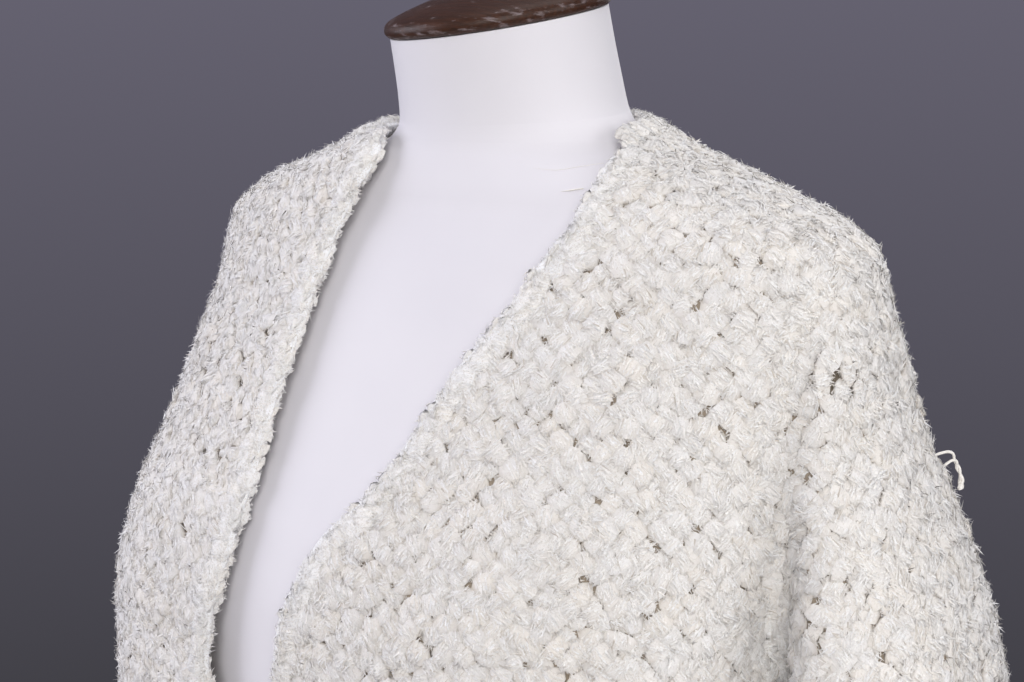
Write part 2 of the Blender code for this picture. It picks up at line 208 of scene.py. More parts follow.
def laidGrid(name, points, wrap=False, flip=False, closeEnds=False):
    # A flat grid is moved onto the rows and columns of points, with lengths in metres as its UV map
    rows, cols = points.shape[:2]
    bm = bmesh.new()
    bmesh.ops.create_grid(bm, x_segments=cols - 1, y_segments=rows - 1, size=1)
    up, side = lengths(points), lengths(points.transpose(1, 0, 2)).T
    uv = bm.loops.layers.uv.new("cloth")
    for vert, place in zip(bm.verts, points.reshape(-1, 3)):
        vert.co = place
    for face in bm.faces:
        face.smooth = True
        for loop in face.loops:
            i, j = divmod(loop.vert.index, cols)
            loop[uv].uv = side[i, j], up[i, j]
    if flip:
        bmesh.ops.reverse_faces(bm, faces=bm.faces)
    if wrap:
        bmesh.ops.remove_doubles(bm, verts=bm.verts, dist=1e-6)
    if closeEnds:
        rim = [edge for edge in bm.edges if edge.is_boundary]
        for edge in rim:
            edge.smooth = False
        for face in bmesh.ops.holes_fill(bm, edges=rim, sides=0)["faces"]:
            face.smooth = False
        bmesh.ops.recalc_face_normals(bm, faces=bm.faces)
    return toMesh(bm, name)


def turned(name, profile, steps):  # a profile of radius and height, spun round Z
    bm = bmesh.new()
    verts = [bm.verts.new((radius, 0, z)) for radius, z in profile]
    edges = [bm.edges.new(pair) for pair in zip(verts, verts[1:])]
    bmesh.ops.spin(bm, geom=verts + edges, cent=(0, 0, 0), axis=(0, 0, 1), angle=2 * pi, steps=steps,
                   use_merge=True)
    bmesh.ops.remove_doubles(bm, verts=bm.verts, dist=1e-5)
    bmesh.ops.recalc_face_normals(bm, faces=bm.faces)
    for face in bm.faces:
        face.smooth = True
    return toMesh(bm, name)


# Materials

mm = 0.001


def linear(colour):  # sRGB hex to linear
    channels = [int(colour[k:k + 2], 16) / 255 for k in (1, 3, 5)]
    return [c / 12.92 if c <= 0.04045 else ((c + 0.055) / 1.055) ** 2.4 for c in channels] + [1]


def perMetre(sizeMm, share=1):  # pattern scale from a real size
    return share / (sizeMm * mm)


def addNode(tree, kind, links, out=0, **settings):  # gives back one output of the new node
    made = tree.nodes.new("ShaderNode" + kind)
    for name, value in settings.items():
        setattr(made, name, value)
    for socket, value in links.items():
        if isinstance(value, bpy.types.NodeSocket):
            tree.links.new(value, made.inputs[socket])
        else:
            made.inputs[socket].default_value = linear(value) if isinstance(value, str) else value
    return made.outputs[out]


def newMaterial(name, settings):
    made = bpy.data.materials.new(name)
    made.use_nodes = True
    inputs = made.node_tree.nodes["Principled BSDF"].inputs
    for socket, value in settings.items():
        inputs[socket].default_value = value
    return made, made.node_tree, inputs


# Cotton chenille: cut pile stands out all round the yarn, so it is matt and soft; its dip colour is painted shade,
# mixed in on the sides and ends of strokes and fibres
chenille = dict(white="#EEEFF0", cream="#F3EEE5", dip="#AC9E8D", fibreMm=1.0, fibreRunMm=4.0, patchMm=28, tuftMm=1.8,
                fleckMm=0.8, fleckFrom=0.5, fleckFull=0.68, fleckDepth=0.4, tuftBump=0.5, fibreBump=0.7)
chenilleYarn, tree, shader = newMaterial("cotton_chenille", {"Roughness": 0.95, "Sheen Weight": 0.25,
                                                             "Sheen Roughness": 0.5, "Specular IOR Level": 0.15})
yarn = addNode(tree, "Attribute", {}, "Vector", attribute_name="yarn")
tone, depth = (addNode(tree, "Attribute", {}, "Fac", attribute_name=name) for name in ("tone", "depth"))
place = addNode(tree, "TexCoord", {}, "Object")
streaks = addNode(tree, "Mapping", {"Vector": yarn, "Scale": (perMetre(chenille["fibreMm"]),
                                                              perMetre(chenille["fibreRunMm"]), 1)})
fibre = addNode(tree, "TexNoise", {"Vector": streaks, "Scale": 1.0, "Detail": 2.0})
tuft, patch, fleck = (addNode(tree, "TexNoise", {"Vector": place, "Scale": perMetre(chenille[size]), "Detail": detail})
                      for size, detail in (("tuftMm", 2.0), ("patchMm", 3.0), ("fleckMm", 1.0)))
fleck = addNode(tree, "MapRange", {"Value": fleck, "From Min": chenille["fleckFrom"],
                                   "From Max": chenille["fleckFull"], "To Max": chenille["fleckDepth"]})
# painted shade: each vertex's painted shade value, and small random flecks, mix the colour towards the dip colour
depth = addNode(tree, "Math", {0: depth, 1: fleck}, operation="MAXIMUM")
blend = addNode(tree, "Math", {0: tone, 1: patch}, operation="MULTIPLY")
colour = addNode(tree, "Mix", {0: blend, 6: chenille["white"], 7: chenille["cream"]}, 2, data_type="RGBA")
colour = addNode(tree, "Mix", {0: depth, 6: colour, 7: chenille["dip"]}, 2, data_type="RGBA")
bump = addNode(tree, "Bump", {"Height": tuft, "Strength": chenille["tuftBump"], "Distance": 0.8 * mm})
bump = addNode(tree, "Bump", {"Height": fibre, "Strength": chenille["fibreBump"], "Distance": 0.6 * mm, "Normal": bump})
tree.links.new(colour, shader["Base Color"])
tree.links.new(bump, shader["Normal"])

# Yarn core between the tufts: no pile; its browner colours are painted shade, darker than the face, and a painted
# shadow darkens it almost to black under a hole
core = dict(dark="#7C7060", light="#B8AC9C", hole="#1C1815", spotMm=5)
yarnCore, tree, shader = newMaterial("chenille_core", {"Roughness": 0.95, "Specular IOR Level": 0.1})
place = addNode(tree, "TexCoord", {}, "Object")
paintedHoleShadow = addNode(tree, "Attribute", {}, "Fac", attribute_name="paintedHoleShadow")
spots = addNode(tree, "TexNoise", {"Vector": place, "Scale": perMetre(core["spotMm"]), "Detail": 2.0})
colour = addNode(tree, "Mix", {0: spots, 6: core["dark"], 7: core["light"]}, 2, data_type="RGBA")
# painted shadow: near each hole the core colour turns almost black
colour = addNode(tree, "Mix", {0: paintedHoleShadow, 6: colour, 7: core["hole"]}, 2, data_type="RGBA")
tree.links.new(colour, shader["Base Color"])

# Wrong side of the knit: low purl bumps in rows, two to a stitch, flatter and creamier than the face
reverse = dict(high="#EDE8DF", low="#CFC3B2", stitchMm=11.2, courseMm=6.4, uneven=0.45, bump=0.8)
knitReverse, tree, shader = newMaterial("chenille_wrong_side", {"Roughness": 0.95, "Sheen Weight": 0.2,
                                                                "Specular IOR Level": 0.15})
cloth = addNode(tree, "UVMap", {}, uv_map="cloth")
cells = addNode(tree, "Mapping", {"Vector": cloth, "Scale": (perMetre(reverse["stitchMm"], 2),
                                                             perMetre(reverse["courseMm"]), 1)})
purl = addNode(tree, "TexVoronoi", {"Vector": cells, "Scale": 1.0, "Randomness": reverse["uneven"]},
               feature="SMOOTH_F1")
# painted shade: the colour is darker between the purl bumps, where the bump map is low
colour = addNode(tree, "Mix", {0: purl, 6: reverse["high"], 7: reverse["low"]}, 2, data_type="RGBA")
bump = addNode(tree, "Bump", {"Height": purl, "Strength": reverse["bump"], "Distance": 2 * mm}, invert=True)
tree.links.new(colour, shader["Base Color"])
tree.links.new(bump, shader["Normal"])

# Cotton jersey stretched over the form: smooth, faintly ribbed by its fine stitches, cool white
jersey = dict(pale="#DEDCE0", grey="#D5D3D9", stitchMm=0.9, cloudMm=70, creaseMm=35, creaseBump=0.12, ribBump=0.08)
formJersey, tree, shader = newMaterial("cotton_jersey", {"Roughness": 0.8, "Sheen Weight": 0.15,
                                                         "Specular IOR Level": 0.25})
place = addNode(tree, "TexCoord", {}, "Object")
cloud, rib = (addNode(tree, "TexNoise", {"Vector": place, "Scale": perMetre(jersey[size]), "Detail": detail})
              for size, detail in (("cloudMm", 3.0), ("stitchMm", 1.0)))
creases = addNode(tree, "Mapping", {"Vector": place, "Scale": [perMetre(jersey["creaseMm"], share)
                                                               for share in (1, 1, 0.25)]})
crease = addNode(tree, "TexNoise", {"Vector": creases, "Scale": 1.0, "Detail": 1.0})
colour = addNode(tree, "Mix", {0: cloud, 6: jersey["pale"], 7: jersey["grey"]}, 2, data_type="RGBA")
bump = addNode(tree, "Bump", {"Height": crease, "Strength": jersey["creaseBump"], "Distance": 2 * mm})
bump = addNode(tree, "Bump", {"Height": rib, "Strength": jersey["ribBump"], "Distance": 0.2 * mm, "Normal": bump})
tree.links.new(colour, shader["Base Color"])
tree.links.new(bump, shader["Normal"])

# Turned beech, stained dark and varnished: streaked brown under a worn, scuffed gloss; the pale grey patches on the rim
# are partly real wear and partly a painted reflection
beech = dict(dark="#130A05", warm="#4A2815", wornAndSheen="#A3979A", grainMm=1.4, grainRunMm=24, scuffMm=2.6, rimWearSheen=0.09,
             wearSheenFrom=0.62, wearSheenFull=0.76, wearSheenMost=0.5, glossy=0.35, dull=0.75, bump=0.6)
varnishedWood, tree, shader = newMaterial("varnished_beech", {"Coat Weight": 0.22, "Coat Roughness": 0.3, "IOR": 1.5,
                                                              "Specular IOR Level": 0.2})
rimWearAndSheen = addNode(tree, "Attribute", {}, "Fac", attribute_name="rimWearAndSheen")
place = addNode(tree, "TexCoord", {}, "Object")
along = addNode(tree, "Mapping", {"Vector": place, "Scale": [perMetre(beech[size]) for size in
                                                             ("grainRunMm", "grainMm", "grainMm")]})
grain = addNode(tree, "TexNoise", {"Vector": along, "Scale": 1.0, "Detail": 4.0})
flat = addNode(tree, "Mapping", {"Vector": place, "Scale": [perMetre(beech["scuffMm"], share)
                                                            for share in (0.3, 0.3, 1)]})
scuff = addNode(tree, "TexNoise", {"Vector": flat, "Scale": 1.0, "Detail": 6.0, "Roughness": 0.65})
rubbedAndLit = addNode(tree, "Math", {0: rimWearAndSheen, 1: beech["rimWearSheen"], 2: scuff}, operation="MULTIPLY_ADD")
wornAndSheen = addNode(tree, "MapRange", {"Value": rubbedAndLit, "From Min": beech["wearSheenFrom"], "From Max": beech["wearSheenFull"],
                                  "To Max": beech["wearSheenMost"]})
colour = addNode(tree, "Mix", {0: grain, 6: beech["dark"], 7: beech["warm"]}, 2, data_type="RGBA")
# partly real wear and partly painted reflection: pale grey patches along the rim
colour = addNode(tree, "Mix", {0: wornAndSheen, 6: colour, 7: beech["wornAndSheen"]}, 2, data_type="RGBA")
rough = addNode(tree, "MapRange", {"Value": scuff, "To Min": beech["glossy"], "To Max": beech["dull"]})
bump = addNode(tree, "Bump", {"Height": scuff, "Strength": beech["bump"], "Distance": 0.6 * mm})
for value, socket in ((colour, "Base Color"), (rough, "Roughness"), (bump, "Normal"), (bump, "Coat Normal")):
    tree.links.new(value, shader[socket])
print("materials made")


# The cardigan's form: front towards -Y, wearer's left towards +X, angles from the left side by the back
cardigan = dict(
    wall=0.0045, seam=0.0003, edgingWidth=0.012,
    hemZ=0.335, underarmZ=0.655, shoulderZ=0.900, neckZ=0.950, topZ=0.958,
    armholeFront=0.054, armholeBack=0.056,
    rings=table("z left right front back square shift", [
        (0.335, 0.196, 0.199, 0.154, 0.139, 2.3, 0), (0.45, 0.191, 0.196, 0.155, 0.134, 2.3, 0),
        (0.56, 0.187, 0.194, 0.156, 0.128, 2.3, 0), (0.65, 0.184, 0.193, 0.1575, 0.124, 2.35, 0),
        (0.72, 0.183, 0.193, 0.1575, 0.122, 2.35, 0), (0.76, 0.184, 0.193, 0.15, 0.122, 2.32, 0),
        (0.8, 0.188, 0.194, 0.1345, 0.121, 2.2, 0), (0.84, 0.195, 0.195, 0.117, 0.117, 2.1, 0),
        (0.867, 0.1985, 0.1925, 0.1035, 0.111, 2, 0), (0.887, 0.197, 0.1905, 0.0945, 0.106, 2, 0),
        (0.9, 0.1905, 0.1865, 0.089, 0.101, 2, 0), (0.9092, 0.1765, 0.1765, 0.085, 0.097, 2, 0),
        (0.9182, 0.1545, 0.16, 0.0815, 0.092, 2, -0.0005), (0.928, 0.129, 0.132, 0.0775, 0.086, 2, -0.002),
        (0.938, 0.1025, 0.102, 0.0735, 0.0785, 2, -0.004), (0.95, 0.0745, 0.0745, 0.07, 0.0705, 2, -0.0065),
        (0.959, 0.0615, 0.0615, 0.0595, 0.06, 2, -0.0085)]),
    edges=table("z leftDeg rightDeg", [
        (0.335, -91.5, -110), (0.46, -94, -112.5), (0.6, -93.2, -111.2), (0.69, -92.8, -111), (0.716, -92, -110),
        (0.742, -90.3, -108.2), (0.76, -88.7, -107), (0.784, -83, -106.8), (0.8, -79.6, -107.6),
        (0.844, -72.8, -108.3), (0.87, -67.3, -109.3), (0.897, -62.1, -108.3), (0.91, -56.5, -108.5),
        (0.924, -45.6, -110.9), (0.935, -30.4, -114), (0.942, -16.5, -120), (0.947, -8.5, -142), (0.95, -3, -176)]),
    # Soft folds: angle, how far out, width, lean below, and the heights from which and at which each is full
    folds=[
        (-36, 0.0050, 15, 4, 0.86, 0.70), (-60, -0.0035, 11, -28, 0.90, 0.68), (-142, 0.0240, 24, 0, 0.87, 0.70),
        (-72, 0.0080, 12, -4, 0.72, 0.46), (-48, -0.0080, 11, 3, 0.70, 0.46), (-18, 0.0070, 12, 2, 0.66, 0.44),
        (-128, -0.0060, 11, 3, 0.68, 0.45), (-164, -0.0090, 12, -2, 0.72, 0.46), (26, -0.0070, 12, 2, 0.72, 0.50),
        (50, 0.0080, 13, 5, 0.82, 0.56), (76, -0.0080, 13, 4, 0.84, 0.52), (102, 0.0070, 13, -2, 0.80, 0.50),
        (127, -0.0085, 13, -4, 0.82, 0.54), (152, 0.0075, 12, -3, 0.76, 0.50)])


def bodyPoint(angle, z):
    angle, z = np.broadcast_arrays(np.asarray(angle, float), np.asarray(z, float))
    left, right, front, back, square, shift = columnsAt(cardigan["rings"], z).values()
    c, s = rounded(angle, square)
    wide, deep = np.where(c > 0, left, right), np.where(s < 0, front, back)
    out = unit(np.stack([c / wide, s / deep], -1))
    push = np.zeros_like(z)
    for middleDeg, far, widthDeg, leanDeg, fromZ, fullZ in cardigan["folds"]:
        share = np.clip((fromZ - z) / (fromZ - fullZ), 0, 1)
        away = around(angle, radians(middleDeg) + radians(leanDeg) * share) / radians(widthDeg)
        push = push + far * ramp(share) * np.exp(-away ** 2)
    return np.stack([wide * c + push * out[..., 0], shift + deep * s + push * out[..., 1], z], -1)


def bodyNormal(angle, z):
    return unit(np.cross(bodyPoint(angle + tiny, z) - bodyPoint(angle - tiny, z),
                         bodyPoint(angle, z + tiny) - bodyPoint(angle, z - tiny)))


def bodyAt(angle, z):
    return bodyPoint(angle, z), bodyNormal(angle, z)


armholeMiddle = (cardigan["shoulderZ"] + cardigan["underarmZ"]) / 2
armholeHalf = (cardigan["shoulderZ"] - cardigan["underarmZ"]) / 2


def armhole(side, turn):  # angle and height of its edge: turn 0 is the top, half a turn the underarm, front first
    z = armholeMiddle + armholeHalf * np.cos(turn)
    reach = np.sin(turn)
    front, back, square = (column(cardigan["rings"], name, z) for name in ("front", "back", "square"))
    share = np.where(reach > 0, cardigan["armholeFront"] * reach / front, -cardigan["armholeBack"] * reach / back)
    angle = -np.sign(reach) * np.arcsin(np.clip(share, 0, 1) ** (square / 2))
    return np.where(side > 0, angle, pi - angle), z


def sideReach(face, z):  # angle from the side line to where a front (1) or the back (-1) begins
    return np.abs(armhole(1, face * np.arccos(np.clip((z - armholeMiddle) / armholeHalf, -1, 1)))[0])


# Each body panel: the angles that its stitches are laid out over, the column they are counted from, and its ends
bodyPanels = dict(
    front_left=dict(gridDeg=(-99, 5), zeroDeg=-52,
                    start=lambda z: np.radians(column(cardigan["edges"], "leftDeg", z)),
                    end=lambda z: -sideReach(1, z)),
    front_right=dict(gridDeg=(-185, -98), zeroDeg=-140,
                     start=lambda z: sideReach(1, z) - pi,
                     end=lambda z: np.radians(column(cardigan["edges"], "rightDeg", z))),
    back=dict(gridDeg=(-5, 185), zeroDeg=90,
              start=lambda z: sideReach(-1, z),
              end=lambda z: pi - sideReach(-1, z)))

sleeves = dict(
    sides=dict(sleeve_left=1, sleeve_right=-1),
    sections=table("part outerGap outerZ innerGap innerZ halfWidth middleY", [
        (0, 0.001, 0.878, 0.0063, 0.646, 0.051, 0.001), (0.1, 0.01, 0.84, 0.0072, 0.631, 0.063, 0.0045),
        (0.22, 0.037, 0.79, 0.0078, 0.61, 0.075, 0.0065), (0.35, 0.062, 0.733, 0.0082, 0.583, 0.081, 0.004),
        (0.5, 0.076, 0.66, 0.0088, 0.548, 0.0835, 0.0005), (0.66, 0.084, 0.573, 0.01, 0.503, 0.082, -0.002),
        (0.82, 0.086, 0.482, 0.013, 0.446, 0.076, -0.005), (1, 0.083, 0.378, 0.015, 0.37, 0.069, -0.01)]),
    rightBack=0.014, rightFrom=0.3, leaveTop=0.026, leaveUnder=0.038, arrive=0.035, ahead=0.02,
    # Soft folds: angle from the outer side by the front, how far out, width, and where along the sleeve
    creases=[(78, -0.0060, 24, 0.30, 0.66), (28, 0.0050, 20, 0.22, 0.80), (112, 0.0040, 20, 0.45, 0.95),
             (300, -0.0060, 26, 0.30, 0.72), (250, 0.0050, 22, 0.45, 1.00), (330, 0.0040, 20, 0.55, 1.05),
             (150, -0.0035, 22, 0.55, 1.10)])


def tubePoint(side, part, turn):
    value = columnsAt(sleeves["sections"], part)
    width = "left" if side > 0 else "right"
    outerX = value["outerGap"] + column(cardigan["rings"], width, value["outerZ"])
    innerX = value["innerGap"] + column(cardigan["rings"], width, value["innerZ"])
    middleY = value["middleY"] + (0 if side > 0 else sleeves["rightBack"] * ramp(part / sleeves["rightFrom"]))
    c, s = np.cos(turn), np.sin(turn)
    push = np.zeros_like(part)
    for middleDeg, far, widthDeg, fromPart, toPart in sleeves["creases"]:
        share = np.clip((part - fromPart) / (toPart - fromPart), 0, 1)
        away = around(turn, radians(middleDeg)) / radians(widthDeg)
        push = push + far * np.sin(pi * share) ** 2 * np.exp(-away ** 2)
    return np.stack([side * (innerX + (outerX - innerX) / 2 * (1 + c) + push * c),
                     middleY - (value["halfWidth"] + push) * s,
                     value["innerZ"] + (value["outerZ"] - value["innerZ"]) / 2 * (1 + c)], -1)


def sleevePoint(side, part, turn):  # part -1 is the seam at the armhole, 0 the end of its head, 1 the cuff
    part, turn = np.broadcast_arrays(np.asarray(part, float), np.asarray(turn, float))
    edge, normal = bodyAt(*armhole(side, turn))
    along = bodyPoint(*armhole(side, turn + tiny)) - bodyPoint(*armhole(side, turn - tiny))
    across = unit(side * np.cross(normal, along))
    first, none = edge + cardigan["seam"] * across, np.zeros_like(part)
    last = tubePoint(side, none, turn)
    arrive = sleeves["arrive"] * unit(tubePoint(side, none + sleeves["ahead"], turn) - last)
    leave = sleeves["leaveTop"] + (sleeves["leaveUnder"] - sleeves["leaveTop"]) * (1 - np.cos(turn))[..., None] / 2
    head = between(first, last, leave * across, arrive, np.clip(part + 1, 0, 1)[..., None])
    return np.where((part >= 0)[..., None], tubePoint(side, np.maximum(part, 0), turn), head)


def sleeveRows(rows, headRows, end):  # from the cuff to the end of the head
    return np.concatenate([np.linspace(1, 0, rows, endpoint=False), np.linspace(0, end, headRows)])


def sleeveAt(side, parts, turns):
    points = sleevePoint(side, *np.meshgrid(parts, turns, indexing="ij"))
    return points, gridNormals(points, -side)


# Stitches: one short fat stroke of pile for each half stitch, in half-drop rows that lean left and right by turns
stitch = dict(pitch=0.0112, course=0.0064, halfLength=0.0079, halfWidth=0.0063, halfHeight=0.0022, sink=0.0014,
              dip=0.0016, tiltDeg=38, tiltSpreadDeg=14, sizeSpread=0.11, sizeLimit=0.25, placeSpread=0.0008,
              riseSpread=0.0005, lump=0.00025, rings=(-0.6, 0, 0.6), ringSize=(0.78, 1, 0.78), sides=4,
              fillReach=0.0054, fillSize=0.9, seamReach=0.0046, crowd=0.0041, yarnShift=50, seed=7,
              # how much painted shade darkens the sides, and how far shading is flattened and turned to the tips
              sideShade=0.72, topShade=0.78, mostShade=0.65, flatter=0.5, tipRise=0.3, tipLean=0.5)
chance = np.random.default_rng(stitch["seed"])

# Grids that the courses are laid out over, the steps in which bare places are looked for, and how courses are evened
layout = dict(columnsPerDeg=1.3, panelRows=300, panelSearch=(1.5, 0.8), sleeveRows=150, headRows=50, sleeveColumns=181,
              sleeveSearch=(1.0, 1.5), mostCourses=160, grain=0.004, nearTop=0.01, evening=0.25, passes=3)


def alongCourse(points, row, col, zero, course):
    # Row, column, direction and half drop of each stitch of one course, and the run that they are counted on
    line = pick(points, row, col)
    run = lengths(line)
    run -= run[zero]
    pitch, shift = stitch["pitch"], 0.5 * (course % 2)
    at = (np.arange(np.ceil(run[0] / pitch - shift), np.floor(run[-1] / pitch - shift) + 1) + shift) * pitch
    ways = np.gradient(line, axis=0).T
    return [np.interp(at, run, values) for values in (row, col, *ways)] + [0 * at + course % 2], run


def knitCourses(points, zero):
    # Each course is the one below it, moved up the cloth by one row: rows stay even and wales stay square
    alongRow, alongCol = np.gradient(points, axis=0), np.gradient(points, axis=1)
    top, grain = points.shape[0] - 1.0, layout["grain"]
    row, col = np.zeros(points.shape[1]), np.arange(points.shape[1], dtype=float)
    found = []
    for course in range(layout["mostCourses"]):
        for _ in range(2):
            a, b = pick(alongCol, row, col), pick(alongRow, row, col)
            up = np.cross(unit(np.cross(a, b)), unit(np.gradient(pick(points, row, col), axis=0)))
            # Two half steps, the first course half as high, and what has reached the top stays
            step = np.where(row < top - layout["nearTop"], stitch["course"] / (2 if course else 4), 0)
            aa, ab, bb, ua, ub = (dot(*pair)[:, 0] for pair in ((a, a), (a, b), (b, b), (up, a), (up, b)))
            area = np.maximum(aa * bb - ab * ab, 1e-18)
            row = np.clip(row + step * (ub * aa - ua * ab) / area, 0, top)
            col = np.clip(col + step * (ua * bb - ub * ab) / area, 0, points.shape[1] - 1.0)
            for _ in range(layout["passes"]):
                for value in (row, col):
                    bend = layout["evening"] * (value[:-2] + value[2:] - 2 * value[1:-1])
                    value[1:-1] += np.where(row[1:-1] < top - layout["nearTop"], bend, 0)
        made, run = alongCourse(points, row, col, zero, course)
        found.append(made)
        if row.min() > top - 1:
            break
        evenly = np.arange(np.ceil(run[0] / grain), np.floor(run[-1] / grain) + 1) * grain
        evenly = np.concatenate([run[:1], evenly[(evenly > run[0]) & (evenly < run[-1])], run[-1:]])
        row, col = np.interp(evenly, run, row), np.interp(evenly, run, col)
        zero = int(np.argmin(np.abs(evenly)))
    return np.concatenate(found, axis=1)


def tubeCourses(points, zero):
    # On a sleeve each course lies at one length up from the cuff, counted along every column
    up = lengths(points)
    columns = np.arange(points.shape[1], dtype=float)
    found = []
    for course in range(int(up[-1].max() / stitch["course"])):
        level = (course + 0.5) * stitch["course"]
        row = np.array([np.interp(level, one, np.arange(len(up))) for one in up.T])
        found.append(alongCourse(points, row, columns, zero, course)[0])
    return np.concatenate(found, axis=1)


def strokesOn(points, normals, found, inside):
    keep = inside(found[0], found[1])
    row, col, odd = (found[k][keep] for k in (0, 1, 5))
    normal = unit(pick(normals, row, col))
    along = found[2:5].T[keep]
    along = unit(along - normal * dot(along, normal))
    return dict(place=pick(points, row, col), normal=normal, along=along, scale=np.ones(len(row)),
                tilt=np.radians(stitch["tiltDeg"]) * np.where(odd > 0, -1, 1))


def gather(*several):
    return {key: np.concatenate([one[key] for one in several]) for key in several[0]}


def searchGrid(points, steps):
    rows, cols = points.shape[:2]
    grids = np.meshgrid(np.arange(0, rows - 2, steps[0]), np.arange(0, cols - 1, steps[1]), indexing="ij")
    return (grid.ravel() for grid in grids)


panelGrids, stitches = {}, {}


def layOut(name, points, normals, found, inside, row, col, toSeam):
    stitches[name] = strokesOn(points, normals, found, inside)
    panelGrids[name] = pick(points, row, col), unit(pick(normals, row, col)), toSeam < stitch["seamReach"]
    print(name, "stitches laid out:", len(stitches[name]["place"]))


for name, panel in bodyPanels.items():
    fromDeg, toDeg = panel["gridDeg"]
    angle = np.radians(np.linspace(fromDeg, toDeg, int((toDeg - fromDeg) * layout["columnsPerDeg"])))
    z = np.linspace(cardigan["hemZ"], cardigan["topZ"], layout["panelRows"])
    angles, heights = np.meshgrid(angle, z)
    points, normals = bodyAt(angles, heights)

    def toEnds(row, col):  # angles to both ends of the panel, and the height
        atAngle, atZ = pick(angles, row, col), pick(heights, row, col)
        return atAngle - panel["start"](atZ), panel["end"](atZ) - atAngle, atZ

    def insidePanel(row, col):
        toStart, toEnd, atZ = toEnds(row, col)
        return (toStart > 0) & (toEnd > 0) & (atZ < cardigan["neckZ"])

    row, col = searchGrid(points, layout["panelSearch"])
    keep = insidePanel(row, col)
    row, col = row[keep], col[keep]
    toSeam = np.minimum(*toEnds(row, col)[:2]) * np.linalg.norm(pick(points, row, col)[:, :2], axis=1)
    zero = int(np.argmin(np.abs(angle - radians(panel["zeroDeg"]))))
    layOut(name, points, normals, knitCourses(points, zero), insidePanel, row, col, toSeam)

parts = sleeveRows(layout["sleeveRows"], layout["headRows"], -1)
turns = np.linspace(-pi, pi, layout["sleeveColumns"])


def insideSleeve(row, col):  # clear of the armhole and of the seam under the arm
    return (row < len(parts) - 2) & (col > 0.5) & (col < len(turns) - 1.5)


for name, side in sleeves["sides"].items():
    points, normals = sleeveAt(side, parts, turns)
    row, col = searchGrid(points, layout["sleeveSearch"])
    at = row.astype(int), col.astype(int)
    toSeam = np.minimum(lengths(points[::-1])[::-1][at], lengths(points.transpose(1, 0, 2)).T[at])
    layOut(name, points, normals, tubeCourses(points, len(turns) // 2), insideSleeve, row, col, toSeam)

# Edging: rows of strokes from the panel's face over the edge and under it
edging = dict(step=0.002, pitch=0.0068, lineSteps=700, neckSteps=160, endGap=0.002, thick=0.0066, skin=0.0018,
              section=[(0, -0.3), (0.22, -0.5), (0.7, -0.5), (1, -0.18), (1, 0.18), (0.7, 0.5), (0.22, 0.5), (0, 0.3)],
              # round the right side of the neck it lies down towards the form
              neckLeanDeg=24, leanFromZ=0.925, leanFullZ=0.946, leanWide=0.05,
              # and at the left side of the neck it is drawn in, so that its corner is cut off
              drawn=0.75, drawnFromZ=0.9375, drawnFullZ=0.944, drawnY=0.014, drawnWide=0.014,
              # across from the panel's edge, height from the face, roll over the edge, lean, shift and size of each row
              rows=[(0.0018, 0.0002, 0, 30, 0.0, 1.0), (0.0064, -0.0002, 18, -34, 0.5, 0.9),
                    (0.0094, -0.0016, 58, 34, 0.0, 0.66), (0.0088, -0.0046, 130, -34, 0.5, 0.62)])


def edgeLine():  # up the right front, round the back neck and down the left front
    z = np.linspace(cardigan["hemZ"], cardigan["neckZ"], edging["lineSteps"])
    right, left = bodyPanels["front_right"]["end"](z), bodyPanels["front_left"]["start"](z)
    neck = np.linspace(right[-1] + 2 * pi, left[-1], edging["neckSteps"])[1:-1]
    angle = np.concatenate([right, neck, left[::-1]])
    height = np.concatenate([z, 0 * neck + cardigan["neckZ"], z[::-1]])
    run = lengths(bodyPoint(angle, height))
    at = np.arange(0, run[-1], edging["step"])
    angle, height = np.interp(at, run, np.unwrap(angle)), np.interp(at, run, height)
    line, out = bodyAt(angle, height)
    return line, out, unit(np.cross(np.gradient(line, axis=0), out)), at


line, out, across, run = edgeLine()
lean = radians(edging["neckLeanDeg"]) * ramp(line[:, 2:], edging["leanFromZ"], edging["leanFullZ"])
lean = lean * ramp(0.5 - line[:, :1] / edging["leanWide"])
across, out = np.cos(lean) * across - np.sin(lean) * out, np.cos(lean) * out + np.sin(lean) * across
drawn = ramp(line[:, 2:], edging["drawnFromZ"], edging["drawnFullZ"]) * (line[:, :1] > 0)
across = across * (1 - edging["drawn"] * drawn * ramp((edging["drawnY"] - line[:, 1:2]) / edging["drawnWide"]))
rowsOfEdging = []
for farAcross, high, rollDeg, leanDeg, shift, size in edging["rows"]:
    at = (np.arange(int(run[-1] / edging["pitch"])) + 0.5 + shift / 2) * edging["pitch"]
    at = at[at < run[-1] - edging["endGap"]]
    middle, face, aside, forward = (np.stack([np.interp(at, run, one) for one in value.T], -1)
                                    for value in (line, out, across, np.gradient(line, axis=0)))
    forward, roll = unit(forward), radians(rollDeg)
    normal = unit(np.cos(roll) * face + np.sin(roll) * aside)
    rowsOfEdging.append(dict(place=middle + farAcross * aside + high * face, normal=normal,
                             along=unit(forward - normal * dot(forward, normal)), scale=np.full(len(at), size),
                             tilt=np.full(len(at), radians(leanDeg))))
stitches["edging"] = gather(*rowsOfEdging)

# Small holes in the knit, where they are and how far they reach
holes = dict(rim=0.0015, size=0.86, onSleeve=[(0.020, 36, 0.0068), (0.070, 25, 0.0058)],
             onFront=[(-118.2, 0.7906, 0.0060)])
holePlaces = [(sleevePoint(1, part, radians(turnDeg)), reach) for part, turnDeg, reach in holes["onSleeve"]]
holePlaces += [(bodyPoint(radians(angleDeg), z), reach) for angleDeg, z, reach in holes["onFront"]]

